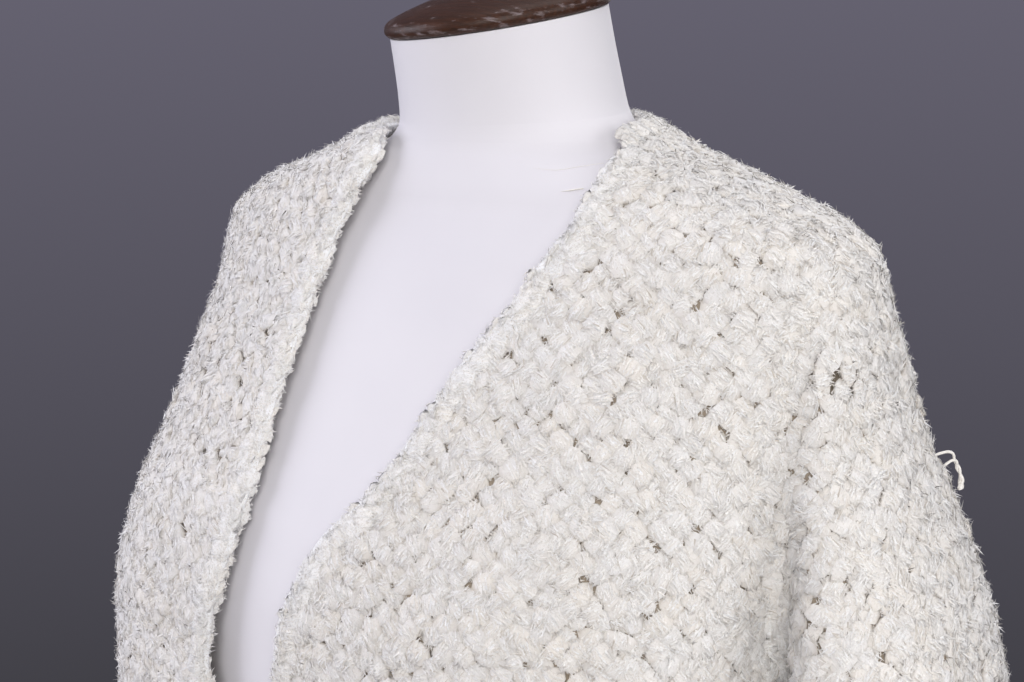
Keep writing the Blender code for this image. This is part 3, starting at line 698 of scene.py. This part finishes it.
# Seams: strokes that crowd a neighbour's are dropped, and bare places get one more
order = ["edging", "front_left", "sleeve_left", "front_right", "back", "sleeve_right"]
laid = stitches["edging"]["place"]
for name in order[1:]:
    apart = distances(searchTree(laid), stitches[name]["place"]) > stitch["crowd"]
    stitches[name] = {key: value[apart] for key, value in stitches[name].items()}
    laid = np.concatenate([laid, stitches[name]["place"]])
laidTree = searchTree(laid)
for name in order[1:]:
    points, normals, atSeam = panelGrids[name]
    reach = np.where(atSeam, stitch["seamReach"], stitch["fillReach"])
    far = distances(laidTree, points) / reach
    added = []
    for k in np.argsort(-far):
        if far[k] < 1:
            break
        if not added or np.linalg.norm(points[added] - points[k], axis=1).min() > reach[k]:
            added.append(k)
    more = dict(place=points[added], normal=normals[added], scale=np.full(len(added), stitch["fillSize"]),
                along=unit(np.cross(upward, normals[added])),
                tilt=np.radians(stitch["tiltDeg"]) * chance.choice([-1, 1], len(added)))
    stitches[name] = gather(stitches[name], more)
    print(name, "bare places filled:", len(added))

# Strokes take the mean direction of their neighbours and are shorter at a ridge, so that none stands off there
ridge = dict(neighbours=9, facing=-0.3, bend=3, straight=1.75, shortest=0.6, drop=-0.0006)
laid = gather(*(stitches[name] for name in order))
laidTree = searchTree(laid["place"])
for name in order[1:]:
    place, normal = stitches[name]["place"], stitches[name]["normal"][:, None]
    near = np.array([[one[1] for one in laidTree.find_n(spot, ridge["neighbours"])] for spot in place])
    others = laid["normal"][near]
    facing = dot(others, normal) > ridge["facing"]
    mean = (others * facing).sum(1) / facing.sum(1)
    rise = dot(laid["place"][near] - place[:, None], normal)[..., 0].mean(1)
    shorter = np.clip(np.linalg.norm(mean, axis=1) * ridge["bend"] - ridge["straight"], ridge["shortest"], 1)
    stitches[name]["scale"] = stitches[name]["scale"] * np.where(rise < ridge["drop"], shorter, 1)
    stitches[name]["normal"] = unit(mean)

# Armhole seams: where the cloth makes a groove, the pile of both sides rises and faces out of it
groove = dict(reach=0.018, lift=0.0062, turn=0.7, sharpness=4, steps=400, headRows=[-0.8, -0.9, -1.0])
turns = np.linspace(-pi, pi, groove["steps"], endpoint=False)
seamPlaces, seamNormals = [], []
for side in (1, -1):
    places, onBody = bodyAt(*armhole(side, turns))
    onSleeve = sleeveAt(side, groove["headRows"], turns)[1][1]
    seamPlaces.append(places)
    seamNormals.append((onBody + onSleeve) / 2)  # the sharper the groove, the shorter
seamTree, seamNormals = searchTree(np.concatenate(seamPlaces)), np.concatenate(seamNormals)


def outOfGroove(place, normal):
    near = [seamTree.find(one) for one in place]
    index, far = np.array([one[1] for one in near]), np.array([[one[2]] for one in near])
    way, long = unit(seamNormals[index]), np.linalg.norm(seamNormals[index], axis=1, keepdims=True)
    share = np.clip(groove["sharpness"] * (1 - long), 0, 1) * ramp(1 - far / groove["reach"])
    return place + groove["lift"] * share * way, unit(normal + groove["turn"] * share * (way - normal))


def settle(strokes):
    # Uneven by hand: places, leans and sizes differ a little, and holes push their neighbours away
    count = len(strokes["place"])
    place, normal = outOfGroove(strokes["place"], strokes["normal"])
    nudge = chance.normal(0, stitch["placeSpread"], (count, 3))
    place = place + nudge - normal * dot(nudge, normal)
    tilt = strokes["tilt"] + np.radians(chance.normal(0, stitch["tiltSpreadDeg"], count))
    level, scale = strokes["along"], strokes["scale"]
    for middle, reach in holePlaces:  # the strokes lie round the hole
        away = place - middle
        far = np.linalg.norm(away, axis=1, keepdims=True)
        near = far < reach + holes["rim"]
        place = np.where(near, middle + unit(away) * np.maximum(far, reach), place)
        level = np.where(near, np.cross(normal, unit(away)), level)
        tilt, scale = np.where(near[:, 0], 0, tilt), np.where(near[:, 0], holes["size"] * scale, scale)
    place = place + normal * (chance.normal(0, stitch["riseSpread"], (count, 1)) - stitch["sink"])
    level = unit(level - normal * dot(level, normal))
    along = np.cos(tilt)[:, None] * level + np.sin(tilt)[:, None] * np.cross(normal, level)
    spread = chance.normal(0, stitch["sizeSpread"], (count, 3))
    length, width, height = (scale[:, None] * (1 + np.clip(spread, -stitch["sizeLimit"], stitch["sizeLimit"]))).T
    return dict(place=place, normal=normal, along=along, across=np.cross(normal, along),
                length=stitch["halfLength"] * length, width=stitch["halfWidth"] * width,
                height=stitch["halfHeight"] * height, tone=chance.random(count),
                seed=chance.random(count) * stitch["yarnShift"])


def onStroke(s, share, wide, high):  # places on strokes, from shares of their length and widths and heights
    place, along, across, normal, length = (s[key] for key in ("place", "along", "across", "normal", "length"))
    return (place + along * (share * length)[..., None] + across * wide[..., None]
            + normal * (high - stitch["dip"] * share ** 2)[..., None])


def strokeMesh(name, s, shade):
    count, sides, t = len(s["place"]), stitch["sides"], np.array(stitch["rings"])
    turn = 2 * pi * (np.arange(sides) + 0.5) / sides  # a flat side is on top
    loops = {key: value[:, None, None] for key, value in s.items()}  # strokes x rings x corners
    share, ringSize = t[None, :, None] + 0 * turn, np.array(stitch["ringSize"])[None, :, None]
    rings = onStroke(loops, share, ringSize * np.cos(turn) * loops["width"], ringSize * np.sin(turn) * loops["height"])
    rings = rings + chance.normal(0, stitch["lump"], rings.shape)
    tips = onStroke(loops, np.array([-1.0, 1.0])[None, :, None], 0 * loops["width"], 0 * loops["height"])[:, :, 0]
    verts = np.concatenate([tips[:, :1], rings.reshape(count, -1, 3), tips[:, 1:]], axis=1)
    size = verts.shape[1]
    ring, after, quads = (1 + part for part in ringFaces(len(t), sides))
    fans = np.concatenate([np.stack([after[0], ring[0], 0 * ring[0]], -1),
                           np.stack([ring[-1], after[-1], 0 * ring[-1] + size - 1], -1)])
    first = np.arange(count)[:, None, None] * size
    faces = (first + quads).reshape(-1, 4).tolist() + (first + fans).reshape(-1, 3).tolist()

    def tipped(tipFirst, values, tipLast):  # one value for each vertex of a stroke
        return np.concatenate([[tipFirst], values.ravel(), [tipLast]])

    high = tipped(0.0, ringSize * np.sin(turn), 0.0)
    # painted shade: the lower sides of each stroke are coloured darker, towards the dip colour
    depth = shade * np.clip(stitch["sideShade"] - high * stitch["topShade"], 0, stitch["mostShade"])
    runAlong = tipped(-1.0, share, 1.0)
    runRound = tipped(0.5, np.tile(np.arange(sides) / sides, len(t)), 0.5)
    seed = s["seed"][:, None]
    yarn = np.stack([seed + runAlong * s["length"][:, None], runRound * 2 * pi * s["width"][:, None],
                     seed + 0 * runAlong], -1)
    # Pile scatters light, so the strokes are shaded rounder than their few faces and flatter than bare yarn
    across, normal, along = (s[key][:, None] for key in ("across", "normal", "along"))
    wide = tipped(0.0, np.tile(np.cos(turn), len(t)), 0.0)[:, None]
    tall = tipped(stitch["tipRise"], np.tile(np.sin(turn), len(t)), stitch["tipRise"])[:, None]
    own = unit(across * wide + normal * tall + along * stitch["tipLean"] * runAlong[:, None])
    flatter = stitch["flatter"] * (tall > 0)
    return shadedMesh(name, verts, faces, unit(flatter * normal + (1 - flatter) * own), tone=np.repeat(s["tone"], size),
                      depth=np.tile(depth, count), yarn=yarn.reshape(-1, 3))


# Pile: flat fibres that lie across the strokes, each a single blade, with some that stand off
pile = dict(perStitch=dict(front_left=48, sleeve_left=45, front_right=36, back=12, sleeve_right=16, edging=50),
            cloth=dict(width=0.0009, lift=(0.0002, 0.0032), shade=1.0),
            edging=dict(width=0.0006, lift=(0.0002, 0.0024), shade=0.35),  # finer, and paler with less painted shade, at the edges
            unseen=dict(width=0.0015, lift=(0.0002, 0.0028), shade=1.0),  # fewer and wider where the photo doesn't look
            taper=([0, 0.6, 1], [1, 0.78, 0.1]), rootDeg=(20, 160), tipDeg=(4, 176), sweepDeg=(26, 60),
            rootLift=0.0001, liftPower=3, slant=0.0012, upward=0.8, splay=0.3, stray=0.16, dark=0.10, paintedFibreShade=0.7,
            paintedSideShade=0.6, paintedEndShade=0.32, looseTint=0.15)


def pileMesh(name, s, each, blades, loose):
    s = {key: np.repeat(value, each, axis=0) for key, value in s.items()}  # one row for each fibre
    along, across, normal = s["along"], s["across"], s["normal"]
    total = len(along)

    def spot(share, turn, lift):
        size = np.interp(np.abs(share), *pile["taper"])
        return onStroke(s, share, np.cos(turn) * (s["width"] * size + lift), np.sin(turn) * (s["height"] * size + lift))

    share, first = chance.triangular(-1, 0, 1, total), np.radians(chance.uniform(*pile["rootDeg"], total))
    sweep = np.radians(chance.uniform(*pile["sweepDeg"], total)) * chance.choice([-1, 1], total)
    last = np.clip(first + sweep, *np.radians(pile["tipDeg"]))
    least, most = blades["lift"]
    root = spot(share, first, pile["rootLift"])
    tip = spot(share + chance.normal(0, pile["slant"], total) / s["length"], last,
               least + (most - least) * chance.random(total) ** pile["liftPower"])
    middle = (first + last) / 2
    out = unit(across * np.cos(middle)[:, None] + normal * (np.sin(middle) + pile["upward"])[:, None])
    half = unit(along + pile["splay"] * chance.normal(0, 1, (total, 3))) * blades["width"] / 2
    half = np.where(dot(np.cross(2 * half, tip - root + half), out) < 0, -half, half)
    verts = np.stack([root - half, root + half, tip], 1).reshape(-1, 3)
    shaded = np.repeat(unit(out + pile["stray"] * chance.normal(0, 1, (total, 3))), 3, axis=0)
    dark = pile["paintedFibreShade"] * chance.random(total) * (chance.random(total) < pile["dark"])  # painted shade on a share of the fibres
    # painted shade: fibres are coloured darker where they start or end on a stroke's side or near its ends
    rootShade, tipShade = (np.maximum(dark, pile["paintedSideShade"] * (1 - np.sin(turn)) + pile["paintedEndShade"] * share ** 2)
                           for turn in (first, last))
    depth = blades["shade"] * np.stack([rootShade, rootShade, tipShade], 1).ravel()
    tone = np.repeat(chance.random(total), 3)
    yarn = np.repeat(np.stack([s["seed"], share, first], -1), 3, axis=0)
    faces = np.arange(3 * total).reshape(-1, 3).tolist()
    for more, quads, away in loose:
        faces += (quads + len(verts)).tolist()
        verts, shaded, yarn = (np.concatenate(pair) for pair in ((verts, more), (shaded, away), (yarn, more)))
        # loose fibres get one even, slightly creamier tint of their own
        tone, depth = (np.concatenate([values, np.full(len(more), level)])
                       for values, level in ((tone, 1), (depth, pile["looseTint"])))
    return shadedMesh(name, verts, faces, shaded, tone=tone, depth=depth, yarn=yarn)


# Dress form: rings from the hips to the neck, whose end slopes down to the front and a little aside
dressForm = dict(
    columns=104, rowHeight=0.009, shoulderZ=(0.89, 0.96), shoulderRows=24, footRows=4,
    neckForward=radians(8.9), neckAside=radians(4.6),
    rings=table("z halfWidth front back square shift tilt", [
        (0.272, 0.148, 0.088, 0.103, 2.2, 0, 0), (0.277, 0.16, 0.098, 0.114, 2.2, 0, 0),
        (0.29, 0.167, 0.104, 0.12, 2.2, 0, 0), (0.33, 0.171, 0.107, 0.124, 2.2, 0, 0),
        (0.38, 0.168, 0.106, 0.12, 2.2, 0, 0), (0.44, 0.155, 0.102, 0.107, 2.2, 0, 0),
        (0.5, 0.137, 0.097, 0.09, 2.2, 0, 0), (0.56, 0.126, 0.099, 0.08, 2.2, 0, 0),
        (0.62, 0.139, 0.124, 0.084, 2.4, 0, 0), (0.68, 0.158, 0.146, 0.094, 2.6, 0, 0),
        (0.72, 0.164, 0.147, 0.099, 2.6, 0, 0), (0.76, 0.168, 0.1405, 0.102, 2.48, 0, 0),
        (0.8, 0.173, 0.1225, 0.104, 2.26, 0, 0), (0.84, 0.182, 0.1035, 0.103, 2.1, 0, 0),
        (0.866, 0.186, 0.0905, 0.099, 2, 0, 0), (0.884, 0.184, 0.082, 0.095, 2, 0, 0),
        (0.8957, 0.1785, 0.0765, 0.091, 2, 0, 0), (0.9043, 0.17, 0.0725, 0.087, 2, 0, 0),
        (0.9133, 0.153, 0.069, 0.082, 2, 0, 0), (0.923, 0.128, 0.066, 0.076, 2, -0.001, 0),
        (0.9333, 0.098, 0.0618, 0.068, 2, -0.0025, 0), (0.9437, 0.0672, 0.0576, 0.0598, 2, -0.005, 0.1),
        (0.954, 0.0572, 0.0555, 0.0559, 2, -0.0075, 0.3), (0.967, 0.0553, 0.0541, 0.0541, 2, -0.0105, 0.6),
        (0.982, 0.054, 0.0528, 0.0528, 2, -0.0145, 0.9), (1, 0.053, 0.0525, 0.0525, 2, -0.019, 1)]))


def formPoint(angle, z):
    halfWidth, front, back, square, shift, tilt = columnsAt(dressForm["rings"], z).values()
    c, s = rounded(angle, square)
    x, y = halfWidth * c, np.where(s < 0, front, back) * s
    slope = tilt * (tan(dressForm["neckForward"]) * y + tan(dressForm["neckAside"]) * x)
    return np.stack([x, y + shift, z + slope], -1)


ringZ = dressForm["rings"]["rows"][:, 0]
z = np.unique(np.concatenate([np.linspace(ringZ[0], ringZ[-1], int((ringZ[-1] - ringZ[0]) / dressForm["rowHeight"])),
                              ringZ[:dressForm["footRows"]],
                              np.linspace(*dressForm["shoulderZ"], dressForm["shoulderRows"])]))
angles, heights = np.meshgrid(np.linspace(0, 2 * pi, dressForm["columns"] + 1), z)
addPiece("form_torso", laidGrid("form_torso", formPoint(angles, heights), wrap=True, closeEnds=True),
         [formJersey], "dress_form")


# Loose fibres: a snagged thread of two strands with a knot on the sleeve, and hairs on the sleeve and on the form
def threadTube(points, radius, aside, per=6, sides=6):
    points = np.array(points, float)
    ends = np.concatenate([2 * points[:1] - points[1:2], points, 2 * points[-1:] - points[-2:-1]])
    t = np.linspace(0, 1, per, endpoint=False)[:, None]
    curves = [b + ((c - a) * t + (2 * a - 5 * b + 4 * c - d) * t ** 2 + (3 * b - a - 3 * c + d) * t ** 3) / 2
              for a, b, c, d in zip(ends, ends[1:], ends[2:], ends[3:])]
    path = np.concatenate(curves + [points[-1:]])
    radius = np.interp(np.linspace(0, 1, len(path)), np.linspace(0, 1, len(radius)), radius)
    along = unit(np.gradient(path, axis=0))
    first = unit(np.cross(along, aside))
    second = np.cross(along, first)
    turn = 2 * pi * np.arange(sides)[None, :, None] / sides
    away = first[:, None] * np.cos(turn) + second[:, None] * np.sin(turn)
    tube = path[:, None] + radius[:, None, None] * away
    return tube.reshape(-1, 3), ringFaces(len(path), sides)[2], away.reshape(-1, 3)


snag = dict(part=0.140, turnDeg=-37, radius=0.0007, twist=0.0007, twistStep=2.0,
            # millimetres out of the sleeve and up, to where the strands meet and from there on
            upper=[(-2, -1), (1, 0), (7.0, 0.5), (10.3, -0.9)], lower=[(1.5, -6.5), (4.4, -6.0), (9.6, -3.9)],
            both=[(11.9, -4.6), (13.4, -7.8), (14.9, -11.0), (15.8, -14.2), (14.8, -17.0), (14.2, -18.2)],
            # how long each strand is even, and radii along its last bit, one with the knot
            evenPoints=9, upperEnd=[0.0014, 0.0014, 0.0003], lowerEnd=[0.0007, 0.0003, 0.0001])
hairs = dict(radius=0.00022, tip=0.00005, onSleeve=[(0.060, -13, 3.4), (0.295, -21, 4.2), (0.370, -24, 3.6)],
             bend=[(-0.3, 0), (0.4, 0.1), (0.8, 0.35), (1, 0.7)],
             # degrees and height along each hair on the form, and its radius
             onForm=[([(-32.0, 0.9357), (-42.8, 0.9343), (-52.2, 0.9327), (-58.8, 0.9335)], 0.00010),
                     ([(-50.5, 0.9250), (-52.5, 0.9246), (-54.5, 0.9241), (-57.2, 0.9235)], 0.00036)],
             offForm=1.2, thinner=5)  # how many radii off the form, and how many times thinner at the tip
root = sleevePoint(1, snag["part"], radians(snag["turnDeg"]))
outward = unit(root * (1, 1, 0) - sleevePoint(1, snag["part"], pi) * (1, 1, 0))
sideways = np.cross(upward, outward)
looseOnSleeve, looseOnForm = [], []
for lead, end, sign in ((snag["upper"], snag["upperEnd"], 1), (snag["lower"], snag["lowerEnd"], -1)):
    points = [root + (far * outward + high * upward) * mm for far, high in lead + snag["both"]]
    for k in range(len(snag["both"])):  # the two strands wind round each other
        turn = k * snag["twistStep"]
        points[len(lead) + k] = points[len(lead) + k] + sign * snag["twist"] * (np.cos(turn) * sideways
                                                                                + np.sin(turn) * outward)
    looseOnSleeve.append(threadTube(points, [snag["radius"]] * snag["evenPoints"] + end, sideways))
for part, turnDeg, longMm in hairs["onSleeve"]:
    foot = sleevePoint(1, part, radians(turnDeg))
    points = [foot + longMm * mm * (share * outward + bend * upward) for share, bend in hairs["bend"]]
    looseOnSleeve.append(threadTube(points, [hairs["radius"]] * 3 + [hairs["tip"]], sideways))
for route, size in hairs["onForm"]:
    angle, z = np.radians([row[0] for row in route]), np.array([row[1] for row in route])
    surface = formPoint(angle, z)
    away = unit(np.cross(formPoint(angle + tiny, z) - surface, formPoint(angle, z + tiny) - surface))
    radii = [size] * 3 + [size / hairs["thinner"]]
    looseOnForm.append(threadTube(surface + hairs["offForm"] * size * away, radii, away.mean(0)))


# Ground of the knit under the strokes: a thin closed shell on each panel's form
ground = dict(under=0.0028, paintedHoleShadow=0.008, panelRows=66, crowdTop=1.4, sideRadius=0.15, sleeveColumns=52, sleeveRows=48,
              headRows=16, headEnd=-0.995, panelColumns=dict(front_left=36, front_right=28, back=56),
              edgingInset=0.0004, edgingEvery=3)
panelPieces = {}


def groundShell(name, points, normals, wrap=False, flip=False):
    mesh = laidGrid(name + "_cloth", points - ground["under"] * normals, wrap=wrap, flip=flip)
    spots = np.array([vert.co for vert in mesh.vertices])
    far = np.min([np.linalg.norm(spots - middle, axis=1) for middle, _ in holePlaces], axis=0)
    # painted shadow: the ground darkens round each hole, fading over a few millimetres
    setAttribute(mesh, "paintedHoleShadow", np.exp(-(far / ground["paintedHoleShadow"]) ** 2))
    panelPieces[name] = addPiece(name + "_cloth", mesh, [yarnCore, knitReverse], name)
    shell = panelPieces[name].modifiers.new("thickness", "SOLIDIFY")
    shell.thickness, shell.offset = cardigan["wall"] - ground["under"], -1
    shell.material_offset = shell.material_offset_rim = 1


for name, panel in bodyPanels.items():
    share = 1 - (1 - np.linspace(0, 1, ground["panelRows"])) ** ground["crowdTop"]
    z = cardigan["hemZ"] + (cardigan["neckZ"] - cardigan["seam"] - cardigan["hemZ"]) * share
    least = cardigan["seam"] / 2 / ground["sideRadius"]
    start, end = panel["start"](z), panel["end"](z)
    share = np.linspace(0, 1, ground["panelColumns"][name])
    angles = start[:, None] + least + (end - start - 2 * least)[:, None] * share
    heights = z[:, None] + 0 * angles
    groundShell(name, *bodyAt(angles, heights))
parts = sleeveRows(ground["sleeveRows"], ground["headRows"], ground["headEnd"])
turns = np.linspace(-pi, pi, ground["sleeveColumns"])
for name, side in sleeves["sides"].items():
    points, normals = sleeveAt(side, parts, turns)
    normals[:, 0] = normals[:, -1] = unit(normals[:, 0] + normals[:, -1])
    groundShell(name, points, normals, wrap=True, flip=side > 0)
section, skin = np.array(edging["section"] + edging["section"][:1]), edging["skin"]
wide = np.clip(section[:, 0] * cardigan["edgingWidth"], ground["edgingInset"], cardigan["edgingWidth"] - skin)
deep = section[:, 1] * (edging["thick"] - 2 * skin) - cardigan["wall"] / 2
every = slice(1, None, ground["edgingEvery"])
points = line[every, None] + wide[:, None] * across[every, None] + deep[:, None] * out[every, None]
panelPieces["edging"] = addPiece("edging_cloth", laidGrid("edging_cloth", points, wrap=True, closeEnds=True),
                                 [chenilleYarn], "edging")
print("cloth grounds made")

# Each piece's strokes and pile, from its settled stitches, and a count of all strokes
totals = 0
for name in order:
    strokes = settle(stitches[name])
    blades = pile[dict(edging="edging", back="unseen", sleeve_right="unseen").get(name, "cloth")]
    loose = dict(sleeve_left=looseOnSleeve, edging=looseOnForm).get(name, [])
    knit = addPiece(name + "_stitches", strokeMesh(name + "_stitches", strokes, blades["shade"]), [chenilleYarn])
    fluff = addPiece(name + "_pile", pileMesh(name + "_pile", strokes, pile["perStitch"][name], blades, loose),
                     [chenilleYarn])
    totals += len(strokes["place"])
print("stitches made:", totals)


# Neck cap, pole and base: turned wood, as radius and height
cap = dict(gap=0.0003, wearSheenFrom=0.0515, wearSheenFull=0.0548, topZ=1.0, shiftY=-0.0190, steps=96,
           profile=[(0, 0), (0.0525, 0), (0.0540, 0.0004), (0.0549, 0.0012), (0.0557, 0.0024), (0.0559, 0.0036),
                    (0.0557, 0.0050), (0.0551, 0.0062), (0.0540, 0.0073), (0.0525, 0.0082), (0.0493, 0.0095),
                    (0.0455, 0.0108), (0.0378, 0.0130), (0.0300, 0.0150), (0.0220, 0.0164), (0.0150, 0.0175),
                    (0.0130, 0.0181), (0.0120, 0.0190), (0.0117, 0.0202), (0.0110, 0.0215), (0.0098, 0.0226),
                    (0.0080, 0.0236), (0.0045, 0.0243), (0, 0.0245)])
mesh = turned("neck_cap_wood", cap["profile"], cap["steps"])
rim = np.linalg.norm(np.array([vert.co[:2] for vert in mesh.vertices]), axis=1)
setAttribute(mesh, "rimWearAndSheen", ramp(rim, cap["wearSheenFrom"], cap["wearSheenFull"]))  # rubbed along the rim: partly real wear, partly painted reflection
mesh.transform(Matrix.LocRotScale((0, cap["shiftY"], cap["topZ"] + cap["gap"]),
                                  Euler((dressForm["neckForward"], -dressForm["neckAside"], 0)), None))
addPiece("neck_cap_wood", mesh, [varnishedWood], "neck_cap")

stand = dict(baseRadius=0.165, baseHeight=0.026, poleRadius=0.016, gap=0.0003, formBottomZ=0.272,
             # inwards from the edge of the base, and height
             baseEdge=[(0.003, 0), (0.0012, 0.0006), (0, 0.003), (0, 0.016), (0.0012, 0.019), (0.004, 0.0215),
                       (0.0085, 0.0233), (0.014, 0.0245), (0.022, 0.0255), (0.03, 0.026)])
baseProfile = [(0, 0), *((stand["baseRadius"] - inset, z) for inset, z in stand["baseEdge"]), (0, stand["baseHeight"])]
footZ, headZ = stand["baseHeight"] + stand["gap"], stand["formBottomZ"] - stand["gap"]
poleProfile = [(0, footZ), (stand["poleRadius"], footZ), (stand["poleRadius"], headZ), (0, headZ)]
for node, profile, steps in (("stand_base", baseProfile, 96), ("stand_pole", poleProfile, 48)):
    addPiece(node + "_wood", turned(node + "_wood", profile, steps), [varnishedWood], node)
print("form and stand made")


# Studio: pale floor, a broad soft key beside the camera, and weaker lights from the sides, behind and above
studio = dict(floorRadius=1.3, floor="#D9D7D4", mottle="#D3D1CE", mottleMm=1000 / 3, low="#414046", high="#666371",
              lowSlope=-0.32, highSlope=0.02,
              lights=[("key", (1.5, -2.0, 1.7), (0, -0.05, 0.70), 2.2, 58, "#FFFDFA"),
                      ("fill", (-1.9, -1.2, 1.5), (0, 0, 0.70), 1.8, 38, "#F3F3FF"),
                      ("side", (2.2, 0.4, 1.4), (0, 0, 0.75), 1.6, 22, "#FFFFFF"),
                      ("back", (-0.6, 2.2, 1.6), (0, 0, 0.75), 1.8, 22, "#FFFFFF"),
                      ("top", (0.0, 0.3, 2.6), (0, 0, 0.8), 1.5, 9, "#FFFFFF")])

# Matt floor paint: pale and even, with faint broad clouds
paint, tree, shader = newMaterial("matt_floor_paint", {"Roughness": 0.9})
place = addNode(tree, "TexCoord", {}, "Object")
mottle = addNode(tree, "TexNoise", {"Vector": place, "Scale": perMetre(studio["mottleMm"])})
colour = addNode(tree, "Mix", {0: mottle, 6: studio["floor"], 7: studio["mottle"]}, 2, data_type="RGBA")
tree.links.new(colour, shader["Base Color"])
bm = bmesh.new()
bmesh.ops.create_circle(bm, cap_ends=True, segments=96, radius=studio["floorRadius"])
floor = bpy.data.objects.new("floor", toMesh(bm, "floor"))
floor.data.materials.append(paint)
bpy.context.collection.objects.link(floor)

for name, place, target, size, power, colour in studio["lights"]:
    lamp = bpy.data.lights.new(name, "AREA")
    lamp.shape, lamp.size, lamp.energy, lamp.color = "DISK", size, power, linear(colour)[:3]
    aimed(name, lamp, place, target)

world = bpy.data.worlds.new("studio")
world.use_nodes = True
tree = world.node_tree
way = addNode(tree, "TexCoord", {}, "Generated")
slope = addNode(tree, "SeparateXYZ", {0: way}, "Z")
share = addNode(tree, "MapRange", {"Value": slope, "From Min": studio["lowSlope"], "From Max": studio["highSlope"]})
colour = addNode(tree, "Mix", {0: share, 6: studio["low"], 7: studio["high"]}, 2, data_type="RGBA")
tree.links.new(colour, tree.nodes["Background"].inputs["Color"])
bpy.context.scene.world = world
bpy.context.scene.view_settings.view_transform = "Standard"
print("studio set")
